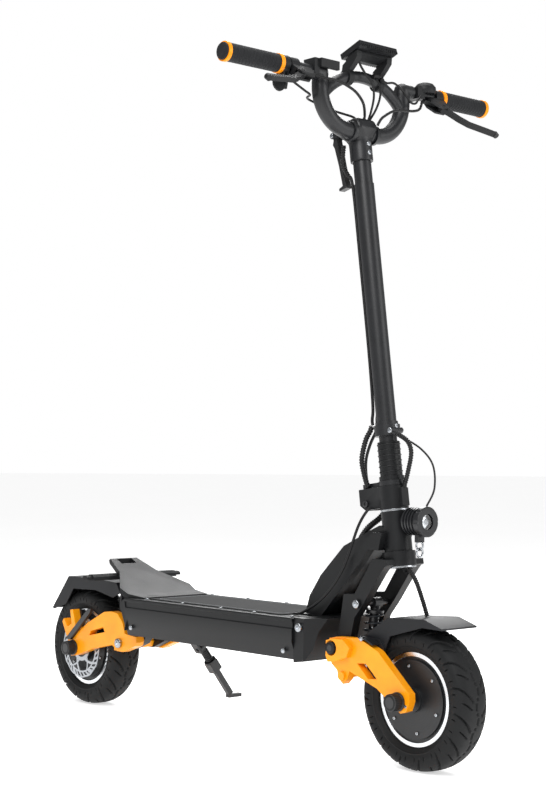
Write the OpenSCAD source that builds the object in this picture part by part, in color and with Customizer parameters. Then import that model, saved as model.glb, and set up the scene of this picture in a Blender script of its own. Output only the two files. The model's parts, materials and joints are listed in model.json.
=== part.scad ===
// Electric kick scooter with two hub-motor wheels, swing-arm suspension and a folding stem.
// +X points forward, +Y to the rider's left and +Z up. The origin is on the ground, midway
// between the axles. All sizes are millimetres.

/* [Wheels] */
// Distance between the two axles
wheelbase = 1000; // [940:10:1200]
// Outer diameter of a tyre
tyre_od = 255; // [230:1:306]
// Width of a tyre
tyre_w = 72; // [60:1:76]
// Width of the flat band of tread that meets the ground
tread_flat = 40; // [20:1:44]
// Outer diameter of the bright rim edge
rim_od = 167; // [156:1:176]
// Width of a rim over its two edges
rim_w = 50; // [44:1:54]
// Diameter of the cover on a hub motor
cover_d = 140; // [120:1:146]
// Diameter of a brake disc
disc_d = 138; // [120:1:144]
// Thickness of a brake disc
disc_t = 2; // [1.6:0.1:2.4]
// Diameter of the axle ends
axle_d = 14; // [12:1:16]

/* [Deck] */
// Width of the deck over its side rails
deck_w = 200; // [170:2:240]
// Height of the deck from its underside to its top
deck_h = 78; // [70:1:94]
// Height of the deck's underside above the axles
deck_rise = 50.5; // [46:0.5:60]
// Wall of the deck's tray
deck_wall = 4; // [3:0.5:6]
// Thickness of the deck's lid
lid_t = 4; // [3:0.5:6]
// Thickness of the rubber mat
mat_t = 2; // [1.5:0.5:4]

/* [Steering] */
// Lean of the steering axis from upright, in degrees
rake = 7.8; // [6:0.1:10]
// Outer diameter of the head tube
head_d = 51; // [46:1:56]
// Length of the head tube
head_len = 72; // [66:1:90]
// Diameter of the steerer shaft
steerer_d = 28; // [25.4:0.1:30]
// Diameter of the fork crown
crown_d = 60; // [56:1:66]
// Height of the fork crown
crown_h = 27; // [24:1:34]

/* [Stem] */
// Outer diameter of the stem tube
stem_d = 37; // [34:1:42]
// Wall of the stem tube
stem_wall = 2.5; // [2:0.5:4]
// Length of the stem tube above its collar
stem_len = 452; // [380:2:545]
// Height of the folding hinge block
block_h = 43; // [40:1:52]
// Diameter of the pin that the stem folds on
fold_pin_d = 12; // [10:0.5:14]

/* [Handlebar] */
// Width of the handlebar over its end caps
bar_w = 690; // [600:10:830]
// Diameter of the handlebar tube
bar_d = 22.2; // [22.2:0.1:25.4]
// Diameter of the riser tubes
riser_d = 31; // [28:1:34]
// Distance between the centres of the two risers
riser_gap = 216; // [190:2:240]
// Height of the handlebar above the foot of the risers
riser_h = 96; // [90:1:120]
// Length of a grip
grip_len = 130; // [110:1:140]
// Diameter of a grip
grip_d = 33; // [30:1:36]

/* [Suspension] */
// Diameter of the wire of a shock spring
wire_d = 4; // [3:0.5:5]
// Outer diameter of a shock spring
coil_d = 34; // [30:1:36]
// Diameter of the pins that the swing arms turn on
arm_pin_d = 14; // [12:1:16]

/* [Hidden] */
$fn = 48;
run_fit = 0.05;
gap = 0.3;
axle_z = tyre_od / 2;
front_x = wheelbase / 2;
rear_x = -wheelbase / 2;
tyre_r = tyre_od / 2;
rim_r = rim_od / 2;

// Swing-arm pivots stand clear of the tyres
front_pivot = [front_x - tyre_r - 32.5, axle_z + 79.5];
rear_pivot = [rear_x + tyre_r + 45.5, axle_z + 25.5];

// Deck
deck_x0 = rear_pivot[0] + 65;
deck_x1 = front_pivot[0] - 80;
deck_z0 = axle_z + deck_rise;
deck_z1 = deck_z0 + deck_h;
deck_half = deck_w / 2;
lid_z = deck_z1 - lid_t;

// Steering axis, measured along the stem from the underside of the fork crown
crown_x = front_x - 59;
crown_z = deck_z1 + 102;
head_s0 = crown_h + 0.5;
head_s1 = head_s0 + head_len;
block_s0 = head_s1 + 4;
block_s1 = block_s0 + block_h;
fold_s = block_s0 + 15;
fold_u = -50;
base_s0 = block_s1 + gap;
base_h = 9;
sleeve_len = 71;
sleeve_lift = 10;
sleeve_s0 = base_s0 + base_h + gap;
collar_s0 = sleeve_s0 + sleeve_len + sleeve_lift + 1;
collar_h = 24;
tube_s1 = collar_s0 + collar_h + stem_len;
yoke_s0 = tube_s1 + 46;
riser_s = yoke_s0 + 51;
function stem_x(u, s) = crown_x + u * cos(rake) - s * sin(rake);
function stem_z(u, s) = crown_z + u * sin(rake) + s * cos(rake);
bar_x = stem_x(6, riser_s) + 2;
bar_z = stem_z(6, riser_s) + riser_h;
bar_r = bar_d / 2;
grip_y1 = bar_w / 2 - 5;
grip_y0 = grip_y1 - grip_len;
bend_r = 72;

// Shock absorbers, from the eye on the chassis to the eye on the swing arm
front_eye_a = [front_pivot[0] + 40, front_pivot[1] + 81];
front_eye_b = [front_pivot[0] + 21, front_pivot[1] - 49];
rear_eye_a = [rear_pivot[0] + 39, rear_pivot[1] + 79];
rear_eye_b = [rear_pivot[0] - 45, rear_pivot[1] + 50];

// Lever planes slope down in front of the handlebar
right_dip = 36;
left_dip = 48;
right_lever_y = 184;
left_lever_y = 200;
arch_r = 136;
arch_top = 9;
lid_bolts = [deck_x0 + 64, deck_x1 - 12];

// ---------- shared shapes ----------

module at_stem() {
  translate([crown_x, 0, crown_z]) rotate([0, -rake, 0]) children();
}
module at_bar() {
  translate([bar_x, 0, bar_z]) children();
}
module both() {
  children();
  mirror([0, 1, 0]) children();
}
// A flat outline in X and Z, as thick as from y0 to y1
module side_plate(y0, y1) {
  translate([0, y1, 0]) rotate([90, 0, 0]) linear_extrude(y1 - y0) children();
}
// A round bar along Y at the point p in X and Z
module cross_bar(p, r, y0, y1) {
  translate([p[0], y0, p[1]]) rotate([-90, 0, 0]) cylinder(r = r, h = y1 - y0);
}
function unit(v) = v / norm(v);
function bend_point(p, i, t) =
  let (a = p[max(i - 1, 0)], b = p[i], c = p[i + 1], d = p[min(i + 2, len(p) - 1)])
  0.5 * (2 * b + (c - a) * t + (2 * a - 5 * b + 4 * c - d) * t * t
  + (3 * b - a - 3 * c + d) * t * t * t);
function smooth_path(p, n) = concat(
  [for (i = [0 : len(p) - 2]) for (k = [0 : n - 1]) bend_point(p, i, k / n)],
  [p[len(p) - 1]]);
// A round tube of radius r swept along the points of c
module sweep(c, r, sides = 8, ref = [0, 1, 0.2]) {
  m = len(c);
  t = [for (i = [0 : m - 1]) unit(c[min(i + 1, m - 1)] - c[max(i - 1, 0)])];
  n = [for (i = [0 : m - 1]) unit(cross(t[i], ref))];
  b = [for (i = [0 : m - 1]) cross(t[i], n[i])];
  points = [for (i = [0 : m - 1]) for (k = [0 : sides - 1])
    c[i] + r * (cos(360 * k / sides) * n[i] + sin(360 * k / sides) * b[i])];
  skin = [for (i = [0 : m - 2]) for (k = [0 : sides - 1]) for (half = [0, 1])
    half == 0 ? [i * sides + k, (i + 1) * sides + k, (i + 1) * sides + (k + 1) % sides]
    : [i * sides + k, (i + 1) * sides + (k + 1) % sides, i * sides + (k + 1) % sides]];
  first = [for (k = [0 : sides - 1]) k];
  last = [for (k = [0 : sides - 1]) m * sides - 1 - k];
  polyhedron(points, concat(skin, [first], [last]), convexity = 6);
}
module cable(p, r, n = 6, ref = [0, 1, 0.2]) {
  sweep(smooth_path(p, n), r, 8, ref);
}
// A coil spring along +Z
module coil(r, wire, len, turns) {
  steps = 14 * turns;
  path = [for (i = [0 : steps])
    [r * cos(360 * i / 14), r * sin(360 * i / 14), wire / 2 + (len - wire) * i / steps]];
  sweep(path, wire / 2, 6, [0, 0, 1]);
}

// ---------- wheels ----------

module at_wheel(x) {
  translate([x, 0, axle_z]) rotate([-90, 0, 0]) children();
}
module tyre(x) {
  bead = rim_r - 3;
  hw = tyre_w / 2;
  wall = 6;
  color("#1b1c1e") at_wheel(x) rotate_extrude() difference() {
    polygon([[bead, -rim_w / 2 + 4], [rim_r + gap, -rim_w / 2 + 4], [rim_r + gap, -rim_w / 2 - 3],
      [rim_r + 12, -hw + 2], [rim_r + 20, -hw], [tyre_r - 20, -hw], [tyre_r - 10, -hw + 3],
      [tyre_r - 3, -tread_flat / 2 - 7], [tyre_r, -tread_flat / 2], [tyre_r, tread_flat / 2],
      [tyre_r - 3, tread_flat / 2 + 7], [tyre_r - 10, hw - 3], [tyre_r - 20, hw],
      [rim_r + 20, hw], [rim_r + 12, hw - 2], [rim_r + gap, rim_w / 2 + 3],
      [rim_r + gap, rim_w / 2 - 4], [bead, rim_w / 2 - 4]]);
    polygon([[bead - 1, -rim_w / 2 + 10], [rim_r + 14, -hw + wall + 2],
      [tyre_r - 18, -hw + wall + 2], [tyre_r - 9, -tread_flat / 2 + 2],
      [tyre_r - 9, tread_flat / 2 - 2], [tyre_r - 18, hw - wall - 2],
      [rim_r + 14, hw - wall - 2], [bead - 1, rim_w / 2 - 10]]);
  }
}
module rim(x) {
  e = rim_w / 2;
  color("#d9dcdf") at_wheel(x) rotate_extrude() polygon([[rim_r - 7.6, -e], [rim_r, -e],
    [rim_r, -e + 3.6], [rim_r - 3.4, -e + 3.6], [rim_r - 3.4, e - 3.6], [rim_r, e - 3.6],
    [rim_r, e], [rim_r - 7.6, e]]);
}
// Hub motor shell, with a pocket for the stator and a boss that carries the disc
module hub(x, disc_side) {
  cover_r = cover_d / 2;
  color("#232527") at_wheel(x) difference() {
    union() {
      cylinder(r = rim_r - 7.6, h = rim_w - 6, center = true);
      cylinder(r = cover_r, h = rim_w + 4, center = true);
      cylinder(r = 22, h = 66, center = true);
      translate([0, 0, disc_side * (rim_w / 4 + 19.4)])
        cylinder(r = 30, h = 38.8 - rim_w / 2, center = true);
      for (a = [20 : 60 : 320]) for (side = [-1, 1])
        rotate([0, 0, a]) translate([cover_r - 11, 0, side * (rim_w / 2 + 2)])
          cylinder(r = 3, h = 2.4, center = true);
    }
    cylinder(r = 64, h = 34, center = true);
    cylinder(r = 10 + run_fit, h = 90, center = true);
  }
}
module disc(x, side) {
  disc_r = disc_d / 2;
  color("#c4c8cc") at_wheel(x) translate([0, 0, side * 40]) difference() {
    cylinder(r = disc_r, h = disc_t, center = true);
    cylinder(r = 22.5, h = 10, center = true);
    for (a = [0 : 60 : 300]) rotate([0, 0, a]) {
      translate([38, 0, 0]) cylinder(r = 8.5, h = 10, center = true);
      rotate([0, 0, 30]) translate([44, 0, 0]) cylinder(r = 5, h = 10, center = true);
    }
    for (a = [0 : 15 : 345]) rotate([0, 0, a]) translate([disc_r - 10, 0, 0])
      cylinder(r = 2.2, h = 10, center = true);
  }
}
// Fixed axle with the motor's stator and the capped nuts
module axle(x, reach) {
  color("#2b2d30") at_wheel(x) {
    cylinder(d = axle_d, h = 2 * reach + 30, center = true);
    cylinder(r = 10, h = 68, center = true);
    cylinder(r = 62, h = 28, center = true);
    for (side = [-1, 1]) {
      translate([0, 0, side * (reach + 2)]) cylinder(r = 17, h = 4, center = true);
      translate([0, 0, side * (reach + 13)]) cylinder(r = 15, h = 18, center = true);
    }
  }
}
module front_tyre() { tyre(front_x); }
module rear_tyre() { tyre(rear_x); }
module front_rim() { rim(front_x); }
module rear_rim() { rim(rear_x); }
module front_hub() { hub(front_x, 1); }
module rear_hub() { hub(rear_x, -1); }
module front_disc() { disc(front_x, 1); }
module rear_disc() { disc(rear_x, -1); }
module front_axle() { axle(front_x, arm_y1); }
module rear_axle() { axle(rear_x, rear_arm_y1); }

// ---------- front suspension ----------

arm_y0 = 50;
arm_y1 = 66;
knob_y1 = 80;
cheek_y1 = 76;
module front_arm_outline() {
  ax = [front_x, axle_z];
  p = front_pivot;
  polygon([p + [-14, 16], p + [4, 20], p + [60, 22], p + [78, 16], p + [110, 3],
    ax + [26, 16], ax + [27, 2], ax + [20, -15], ax + [6, -20], ax + [-14, -8],
    ax + [-52, 17], p + [38, -39], p + [34, -52], p + [22, -64], p + [12, -56], p + [6, -40],
    p + [-8, -30], p + [-15, -16]]);
}
module front_arms() {
  p = front_pivot;
  color("#ffa114") difference() {
    union() {
      both() side_plate(arm_y0, arm_y1) front_arm_outline();
      both() side_plate(arm_y1 - 1, cheek_y1) polygon([p + [-13, 13], p + [3, 17],
        p + [30, 18], p + [48, 4], p + [40, -14], p + [8, -24], p + [-9, -26], p + [-14, -14]]);
      side_plate(-arm_y0 - 1, arm_y0 + 1) polygon([p + [-14, -26], p + [0, -22],
        p + [2, -32], p + [-7, -40], p + [-13, -34]]);
      cross_bar(front_eye_b, 5, -arm_y1 - 3, arm_y1 + 3);
      both() cross_bar(front_eye_b, 8, arm_y1 - 1, arm_y1 + 5);
    }
    cross_bar(p, arm_pin_d / 2 + run_fit, -90, 90);
    both() cross_bar(p, 14, arm_y1, 90);
    both() translate([p[0] - 30, arm_y1, p[1] - 7]) cube([30, 30, 14]);
    both() side_plate(arm_y0 - 1, arm_y1 + 1) polygon([p + [58, -23], p + [80, -21],
      p + [108, -46], p + [86, -48]]);
    cross_bar([front_x, axle_z], axle_d / 2, -90, 90);
  }
}
module front_fender() {
  f = [front_x, axle_z];
  skin = 3;
  color("#2d2f32") {
    difference() {
      side_plate(-46, 46) polygon([f + [-108, 103], f + [-46, 141], f + [42, 145.5],
        f + [84, 132], f + [84, 129], f + [38, 130.5], f + [-40, 109], f + [-56, 76],
        f + [-68, 74], f + [-104, 99]]);
      side_plate(-46 + skin, 46 - skin) polygon([f + [-112, 95], f + [-46, 137.6],
        f + [41, 142.2], f + [90, 127], f + [86, 100], f + [-40, 60], f + [-120, 60]]);
    }
    both() side_plate(45.2, arm_y0 - gap) polygon([f + [-100, 103.6], f + [-62, 101],
      f + [-50, 86], f + [-57, 78], f + [-72, 83], f + [-98, 101.4]]);
    both() side_plate(48, arm_y1 + 2) polygon([f + [-99, 105.4], f + [-81, 103],
      f + [-61, 94.4], f + [-62, 92.2], f + [-81.4, 100.6], f + [-99, 102.6]]);
  }
}
// Coil-over shock between the points a and b, given in X and Z
module at_shock(a, b) {
  d = b - a;
  translate([a[0], 0, a[1]]) rotate([0, 90 - atan2(d[1], d[0]), 0]) children();
}
module shock_body(a, b) {
  color("#2b2d30") at_shock(a, b) difference() {
    union() {
      rotate([90, 0, 0]) cylinder(r = 10, h = 19, center = true);
      cylinder(r = 9, h = 44);
      translate([0, 0, 12]) cylinder(d = coil_d - 1, h = 5);
    }
    rotate([90, 0, 0]) cylinder(r = 5 + run_fit, h = 40, center = true);
    translate([0, 0, 24]) cylinder(r = 5 + run_fit, h = 60);
  }
}
module shock_rod(a, b, seat) {
  len = norm(b - a);
  color("#c9ccd0") at_shock(a, b) difference() {
    union() {
      translate([0, 0, 32]) cylinder(r = 5, h = len - 40);
      translate([0, 0, len - seat]) cylinder(d = coil_d - 1, h = 4);
      translate([0, 0, len - seat + 2]) cylinder(r = 8, h = seat - 10);
      translate([0, 0, len]) rotate([90, 0, 0]) cylinder(r = 10.5, h = 18, center = true);
    }
    translate([0, 0, len]) rotate([90, 0, 0]) cylinder(r = 7, h = 40, center = true);
  }
}
module shock_spring(a, b, turns, seat) {
  color("#3a3d41") at_shock(a, b) translate([0, 0, 17.2])
    coil((coil_d - wire_d) / 2, wire_d, norm(b - a) - seat - 17.4, turns);
}
module front_shock_body() { shock_body(front_eye_a, front_eye_b); }
module front_shock_rod() { shock_rod(front_eye_a, front_eye_b, 33); }
module front_shock_spring() { shock_spring(front_eye_a, front_eye_b, 7, 33); }
module rear_shock_body() { shock_body(rear_eye_a, rear_eye_b); }
module rear_shock_rod() { shock_rod(rear_eye_a, rear_eye_b, 21); }
module rear_shock_spring() { shock_spring(rear_eye_a, rear_eye_b, 5, 21); }

// Brake caliper that straddles its disc, on the inner face of an arm
module caliper(x, side, angle, arm_inner) {
  color("#26282b") at_wheel(x) rotate([0, 0, angle]) translate([0, 0, side * 40]) difference() {
    union() {
      translate([40, -22, -8]) cube([40, 44, arm_inner - 32 - gap]);
      translate([52, -30, 3]) cube([12, 60, arm_inner - 43 - gap]);
    }
    translate([30, -40, -1.6]) cube([disc_d / 2 - 28, 80, 3.2]);
    translate([60, 0, -20]) cylinder(r = 7, h = 16);
  }
}
module front_caliper() {
  mirror([0, 0, 0]) caliper(front_x, 1, -130, arm_y0);
}
module rear_caliper() {
  r = [rear_x, axle_z];
  mirror([0, 1, 0]) caliper(rear_x, 1, -104, rear_arm_y0);
  color("#1f2123") side_plate(-rear_arm_y1 - 8, -rear_arm_y1 - gap) polygon([r + [-20, 18],
    r + [-12, 26], r + [64, 90], r + [76, 92], r + [72, 82], r + [-2, 18]]);
}

// ---------- rear suspension ----------

rear_arm_y0 = 44;
rear_arm_y1 = 62;
lug_y0 = 19;
lug_y1 = 39;
module rear_arm_outline() {
  ax = [rear_x, axle_z];
  p = rear_pivot;
  polygon([ax + [-18, 12], ax + [54, 59], p + [-58, 62], p + [-30, 65], p + [-9, 62],
    p + [9, 44], p + [18, 21], p + [58, 18], p + [60, 6], p + [54, -2], p + [12, -18],
    p + [-10, -18], p + [-28, -6], ax + [74, 4], ax + [10, -17], ax + [-8, -19],
    ax + [-20, -8]]);
}
module rear_arms() {
  ax = [rear_x, axle_z];
  p = rear_pivot;
  color("#ffa114") difference() {
    union() {
      both() side_plate(rear_arm_y0, rear_arm_y1) rear_arm_outline();
      both() side_plate(lug_y1 + 1, rear_arm_y1) polygon([p + [-20, -17], p + [12, -17],
        p + [54, -2], p + [58, 8], p + [56, 16], p + [14, 19], p + [-14, 22]]);
      side_plate(-rear_arm_y0 - 1, rear_arm_y0 + 1) polygon([p + [-30, 20], p + [-20, 26],
        p + [-19, 6], p + [-21, -8], p + [-29, -4]]);
      side_plate(-lug_y0 + gap, lug_y0 - gap) polygon([p + [-24, 12], p + [-6, 15],
        p + [10, 12], p + [16, 0], p + [10, -12], p + [-6, -15], p + [-24, -8]]);
      cross_bar(rear_eye_b, 5, -rear_arm_y0 - 1, rear_arm_y0 + 1);
      side_plate(-rear_arm_y1, -rear_arm_y0) polygon([ax + [-14, 0], ax + [-44, 54],
        ax + [-38, 62], ax + [-24, 44], ax + [-8, 52], ax + [-14, 82], ax + [-4, 84],
        ax + [6, 54], ax + [14, 30]]);
    }
    cross_bar(p, arm_pin_d / 2 + run_fit, -90, 90);
    both() side_plate(rear_arm_y0 - 1, rear_arm_y1 + 1) polygon([ax + [60, 32],
      ax + [66, 42], ax + [112, 54], ax + [118, 44]]);
    cross_bar(ax, axle_d / 2, -90, 90);
  }
}
module rear_pins() {
  color("#c9ccd0") {
    cross_bar(rear_pivot, arm_pin_d / 2, -rear_arm_y1 - 1, rear_arm_y1 + 1);
    both() cross_bar(rear_pivot, 10, rear_arm_y1 + gap, rear_arm_y1 + 5);
    cross_bar(rear_eye_a, 5, -24, 24);
    both() cross_bar(rear_eye_a, 8, 20, 24);
  }
}
module rear_fender() {
  r = [rear_x, axle_z];
  p = rear_pivot;
  skin = 3;
  color("#2d2f32") {
    difference() {
      side_plate(-47, 47) polygon([r + [152, 130], r + [138, 151], r + [72, 154.5],
        r + [-43, 154.5], r + [-106, 80], r + [-101, 77], r + [-52, 92], r + [-24, 128],
        r + [60, 130], r + [126, 118]]);
      side_plate(-47 + skin, 47 - skin) polygon([r + [149, 121], r + [136.5, 148],
        r + [72, 151.5], r + [-41.6, 151.5], r + [-108, 73.5], r + [-50, 60], r + [60, 90],
        r + [149, 100]]);
    }
    both() side_plate(24, 43) polygon([p + [-19, 27], p + [-28.6, 21.4], p + [-31, 24],
      p + [-28, 60], p + [-27, 97], p + [-23, 103], p + [-20, 99], p + [-22, 60]]);
  }
}

// ---------- deck ----------

module deck_outline(grow) {
  h = deck_half - grow;
  z0 = deck_z0 + grow;
  polygon([[-h + 12, z0], [h - 12, z0], [h, z0 + 34], [h, deck_z1 - 20], [h - 2, deck_z1 - 18],
    [h - 2, deck_z1 - 8], [h, deck_z1 - 6], [h, deck_z1 - 2], [h - 2, deck_z1], [-h + 2, deck_z1],
    [-h, deck_z1 - 2], [-h, deck_z1 - 6], [-h + 2, deck_z1 - 8], [-h + 2, deck_z1 - 18],
    [-h, deck_z1 - 20], [-h, z0 + 34]]);
}
module along_deck(x0, x1) {
  translate([x0, 0, 0]) rotate([90, 0, 90]) linear_extrude(x1 - x0) children();
}
module deck_shell() {
  p = rear_pivot;
  lid_half = deck_half - 8;
  color("#2a2c2f") {
    difference() {
      along_deck(deck_x0, deck_x1) deck_outline(0);
      along_deck(deck_x0 + deck_wall, deck_x1 - deck_wall) polygon([
        [-lid_half + 8, lid_z + 20], [-lid_half + 8, lid_z - 40],
        [-deck_half + 12 + deck_wall, deck_z0 + deck_wall],
        [deck_half - 12 - deck_wall, deck_z0 + deck_wall], [lid_half - 8, lid_z - 40],
        [lid_half - 8, lid_z + 20]]);
      translate([deck_x0 - 1, -lid_half, lid_z]) cube([deck_x1 - deck_x0 + 2, 2 * lid_half, 30]);
    }
    difference() {
      both() side_plate(lug_y0, lug_y1) polygon([p + [-15, 6], p + [-8, 15], p + [30, 24],
        p + [66, 44], p + [66, 26], p + [66, 22], p + [50, 2], p + [12, -14], p + [-8, -15],
        p + [-15, -6]]);
      cross_bar(p, arm_pin_d / 2, -60, 60);
    }
    difference() {
      both() side_plate(10, 20) polygon([rear_eye_a + [-10, 4], rear_eye_a + [-4, 11],
        rear_eye_a + [27, 12], rear_eye_a + [27, -30], rear_eye_a + [-4, -10],
        rear_eye_a + [-10, -4]]);
      cross_bar(rear_eye_a, 5, -60, 60);
    }
    both() side_plate(deck_half - 7.6, deck_half) polygon([[deck_x0 + 1, deck_z1 - 2],
      [deck_x0 - 10, deck_z1 - 8], [deck_x0 - 13, deck_z1 - 20], [deck_x0 + 4, deck_z0 + 22],
      [deck_x0 + 2, deck_z0 + 10], [deck_x0 + 12, deck_z0 + 34]]);
  }
}
module deck_plate() {
  half = deck_half - 8 - gap;
  color("#303236") difference() {
    translate([deck_x0, -half, lid_z]) cube([deck_x1 - deck_x0, 2 * half, lid_t]);
    for (x = lid_bolts) for (y = [-half + 4, half - 4])
      translate([x, y, lid_z - 1]) cylinder(r = 2.6, h = lid_t + 2);
  }
}
module deck_mat() {
  color("#3a3c3f") translate([deck_x0 + 62, -deck_half + 20, deck_z1])
    cube([deck_x1 - deck_x0 - 112, deck_w - 40, mat_t]);
}
module battery_pack() {
  color("#2f6f8f") translate([deck_x0 + 70, -deck_half + 28, deck_z0 + deck_wall])
    cube([deck_x1 - deck_x0 - 160, deck_w - 56, deck_h - deck_wall - lid_t - 6]);
}
module controllers() {
  color("#7f8790") {
    translate([deck_x0 + 10, -60, deck_z0 + deck_wall]) cube([52, 120, 38]);
    translate([deck_x1 - 78, -60, deck_z0 + deck_wall]) cube([60, 120, 38]);
  }
}
module deck_bolts() {
  color("#d4d7da") both() {
    for (p = [[deck_x0 + 24, deck_z0 + 18, 4], [deck_x1 - 24, deck_z0 + 16, 4]])
      cross_bar([p[0], p[1]], p[2], deck_half - 3.9, deck_half - 0.5);
    cross_bar([deck_x1 + 17, deck_z1 - 16], 8, 95, 99);
    for (x = lid_bolts) translate([x, deck_half - 12.3, lid_z]) cylinder(r = 2.6, h = lid_t + 1);
  }
}
// Raised handle at the tail, with the bar for the two foot pegs under it
module tail_plate() {
  x0 = deck_x0;
  z1 = deck_z1;
  color("#303236") {
    difference() {
      intersection() {
        side_plate(-120, 120) polygon([[x0 + 52, z1], [x0 + 50, z1 + 3], [x0 + 2, z1 + 8],
          [x0 - 138, z1 + 72], [x0 - 145, z1 + 68], [x0 - 141, z1 + 61], [x0 - 12, z1 + 2],
          [x0 - 10, z1]]);
        linear_extrude(600) polygon([[x0 + 56, -deck_half + 16], [x0 - 6, -deck_half + 8],
          [x0 - 22, -deck_half + 6], [x0 - 84, -50], [x0 - 150, -33], [x0 - 150, 33],
          [x0 - 84, 50], [x0 - 22, deck_half - 6], [x0 - 6, deck_half - 8],
          [x0 + 56, deck_half - 16]]);
      }
      translate([x0 - 137, -20, z1 - 10]) cube([20, 40, 100]);
    }
    translate([x0 - 30, -34, z1 + 8]) rotate([0, 24.5, 0]) cube([12, 68, 8]);
    side_plate(-26, 26) polygon([[x0 - 92, z1 + 32], [x0 - 113, z1 + 32], [x0 - 114, z1 + 50],
      [x0 - 92, z1 + 40]]);
    side_plate(-112, 112) polygon([[x0 - 91, z1 + 31], [x0 - 92, z1 + 38], [x0 - 98, z1 + 43],
      [x0 - 111, z1 + 43], [x0 - 116, z1 + 37], [x0 - 113, z1 + 30], [x0 - 95, z1 + 30]]);
    both() side_plate(111, 126) polygon([[x0 - 95, z1 + 33], [x0 - 96, z1 + 38],
      [x0 - 100, z1 + 41], [x0 - 110, z1 + 41], [x0 - 113, z1 + 37], [x0 - 110, z1 + 32]]);
  }
}

// ---------- neck and fork ----------

module neck() {
  x1 = deck_x1;
  z1 = deck_z1;
  top = [stem_x(0, head_s0), stem_z(0, head_s0)];
  color("#2a2c2f") difference() {
    union() {
      at_stem() translate([0, 0, head_s0]) cylinder(d = head_d, h = head_len);
      both() side_plate(24, 41) polygon([[x1 - 17, z1], [x1 + 98, z1 + 116],
        top + [-50, 16], top + [-27, 34], top + [-4, 34], top + [-12, 2], top + [-38, 2],
        top + [-50, -14], [x1 + 15, z1]]);
      side_plate(-25, 25) polygon([[x1 - 44, z1], [x1 - 32, z1 + 36], [x1 - 2, z1 + 76],
        [x1 + 60, z1 + 134], top + [-44, 38], top + [-25, 46], top + [-4, 40], top + [-8, 6],
        top + [-36, 4], [x1 + 96, z1 + 100], [x1 + 4, z1]]);
      intersection() {
        side_plate(-120, 120) polygon([[x1, z1 + 1], [x1 + 58, z1 + 1], [x1 + 46, z1 - 24],
          [x1 + 39, z1 - 56], [x1 + 28, z1 - 78], [x1, z1 - 82]]);
        linear_extrude(600) polygon([[x1, -95], [x1 + 27, -95], [x1 + 58, -62],
          [x1 + 58, 62], [x1 + 27, 95], [x1, 95]]);
      }
      translate([x1 - 46, -44, z1]) cube([100, 88, 3]);
    }
    at_stem() translate([0, 0, head_s0 - 1]) cylinder(r = 21, h = head_len + 2);
    translate([x1 - 1, -82, z1 - 72]) cube([30, 164, 62]);
  }
}
module head_bearings() {
  color("#c9ccd0") at_stem() for (s = [head_s0, head_s1 - 10]) translate([0, 0, s]) difference() {
    cylinder(r = 21, h = 10);
    translate([0, 0, -1]) cylinder(r = steerer_d / 2 + run_fit, h = 12);
  }
}
module steerer() {
  color("#c9ccd0") at_stem() {
    translate([0, 0, 1]) cylinder(d = steerer_d, h = block_s1 - 3);
    translate([0, 0, head_s1 + gap]) cylinder(d = head_d + 1, h = block_s0 - head_s1 - gap);
    translate([0, 0, -3]) cylinder(d = crown_d - 2, h = 3);
  }
}
leg_y0 = 30;
leg_y1 = 48;
module fork() {
  p = front_pivot;
  c = [crown_x, crown_z];
  color("#2a2c2f") difference() {
    union() {
      at_stem() cylinder(d = crown_d, h = crown_h);
      side_plate(-leg_y1, leg_y1) polygon([c + [-23, 14], c + [-26, 2], c + [-14, -12],
        c + [0, -2], c + [14, 4], c + [12, 14]]);
      both() side_plate(leg_y0, leg_y1) polygon([c + [-23, 14], c + [-69, -52], p + [4, 97],
        p + [-5, 45], p + [-14, 10], p + [-10, -10], p + [0, -15], p + [10, -11],
        p + [20, 8], p + [32, 55], p + [57, 85], c + [-4, -12], c + [8, 2]]);
    }
    at_stem() translate([0, 0, 1]) cylinder(d = steerer_d, h = 100);
    cross_bar(p, arm_pin_d / 2, -90, 90);
    cross_bar(front_eye_a, 5, -90, 90);
    at_stem() translate([0, 0, -40]) cylinder(r = leg_y0 - 1, h = 40);
  }
}
module fork_pins() {
  color("#33363a") {
    cross_bar(front_pivot, arm_pin_d / 2, -arm_y1 - 1, arm_y1 + 1);
    both() cross_bar(front_pivot, 10.5, arm_y1 + gap, knob_y1);
    cross_bar(front_eye_a, 5, -leg_y1 - 1, leg_y1 + 1);
    both() cross_bar(front_eye_a, 8, leg_y1, leg_y1 + 4);
  }
}
module hinge_block() {
  color("#2a2c2f") at_stem() {
    difference() {
      union() {
        translate([0, 0, block_s0]) cylinder(d = head_d + 1, h = block_h);
        translate([-66, -22, block_s0 + 4]) cube([66, 44, block_h - 4]);
        translate([0, -9, block_s0 + 4]) cube([30, 18, block_h - 10]);
      }
      translate([0, 0, block_s0 - 1]) cylinder(d = steerer_d, h = block_s1 - block_s0 - 1);
      translate([-70, -12, block_s0 - 1]) cube([37, 24, block_h + 10]);
      translate([-80, -30, block_s0 - 1]) rotate([0, 38, 0]) cube([20, 60, 20]);
    }
    translate([fold_u, -24, fold_s]) rotate([-90, 0, 0]) cylinder(d = fold_pin_d, h = 48);
  }
}

// ---------- headlamp ----------

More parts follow.
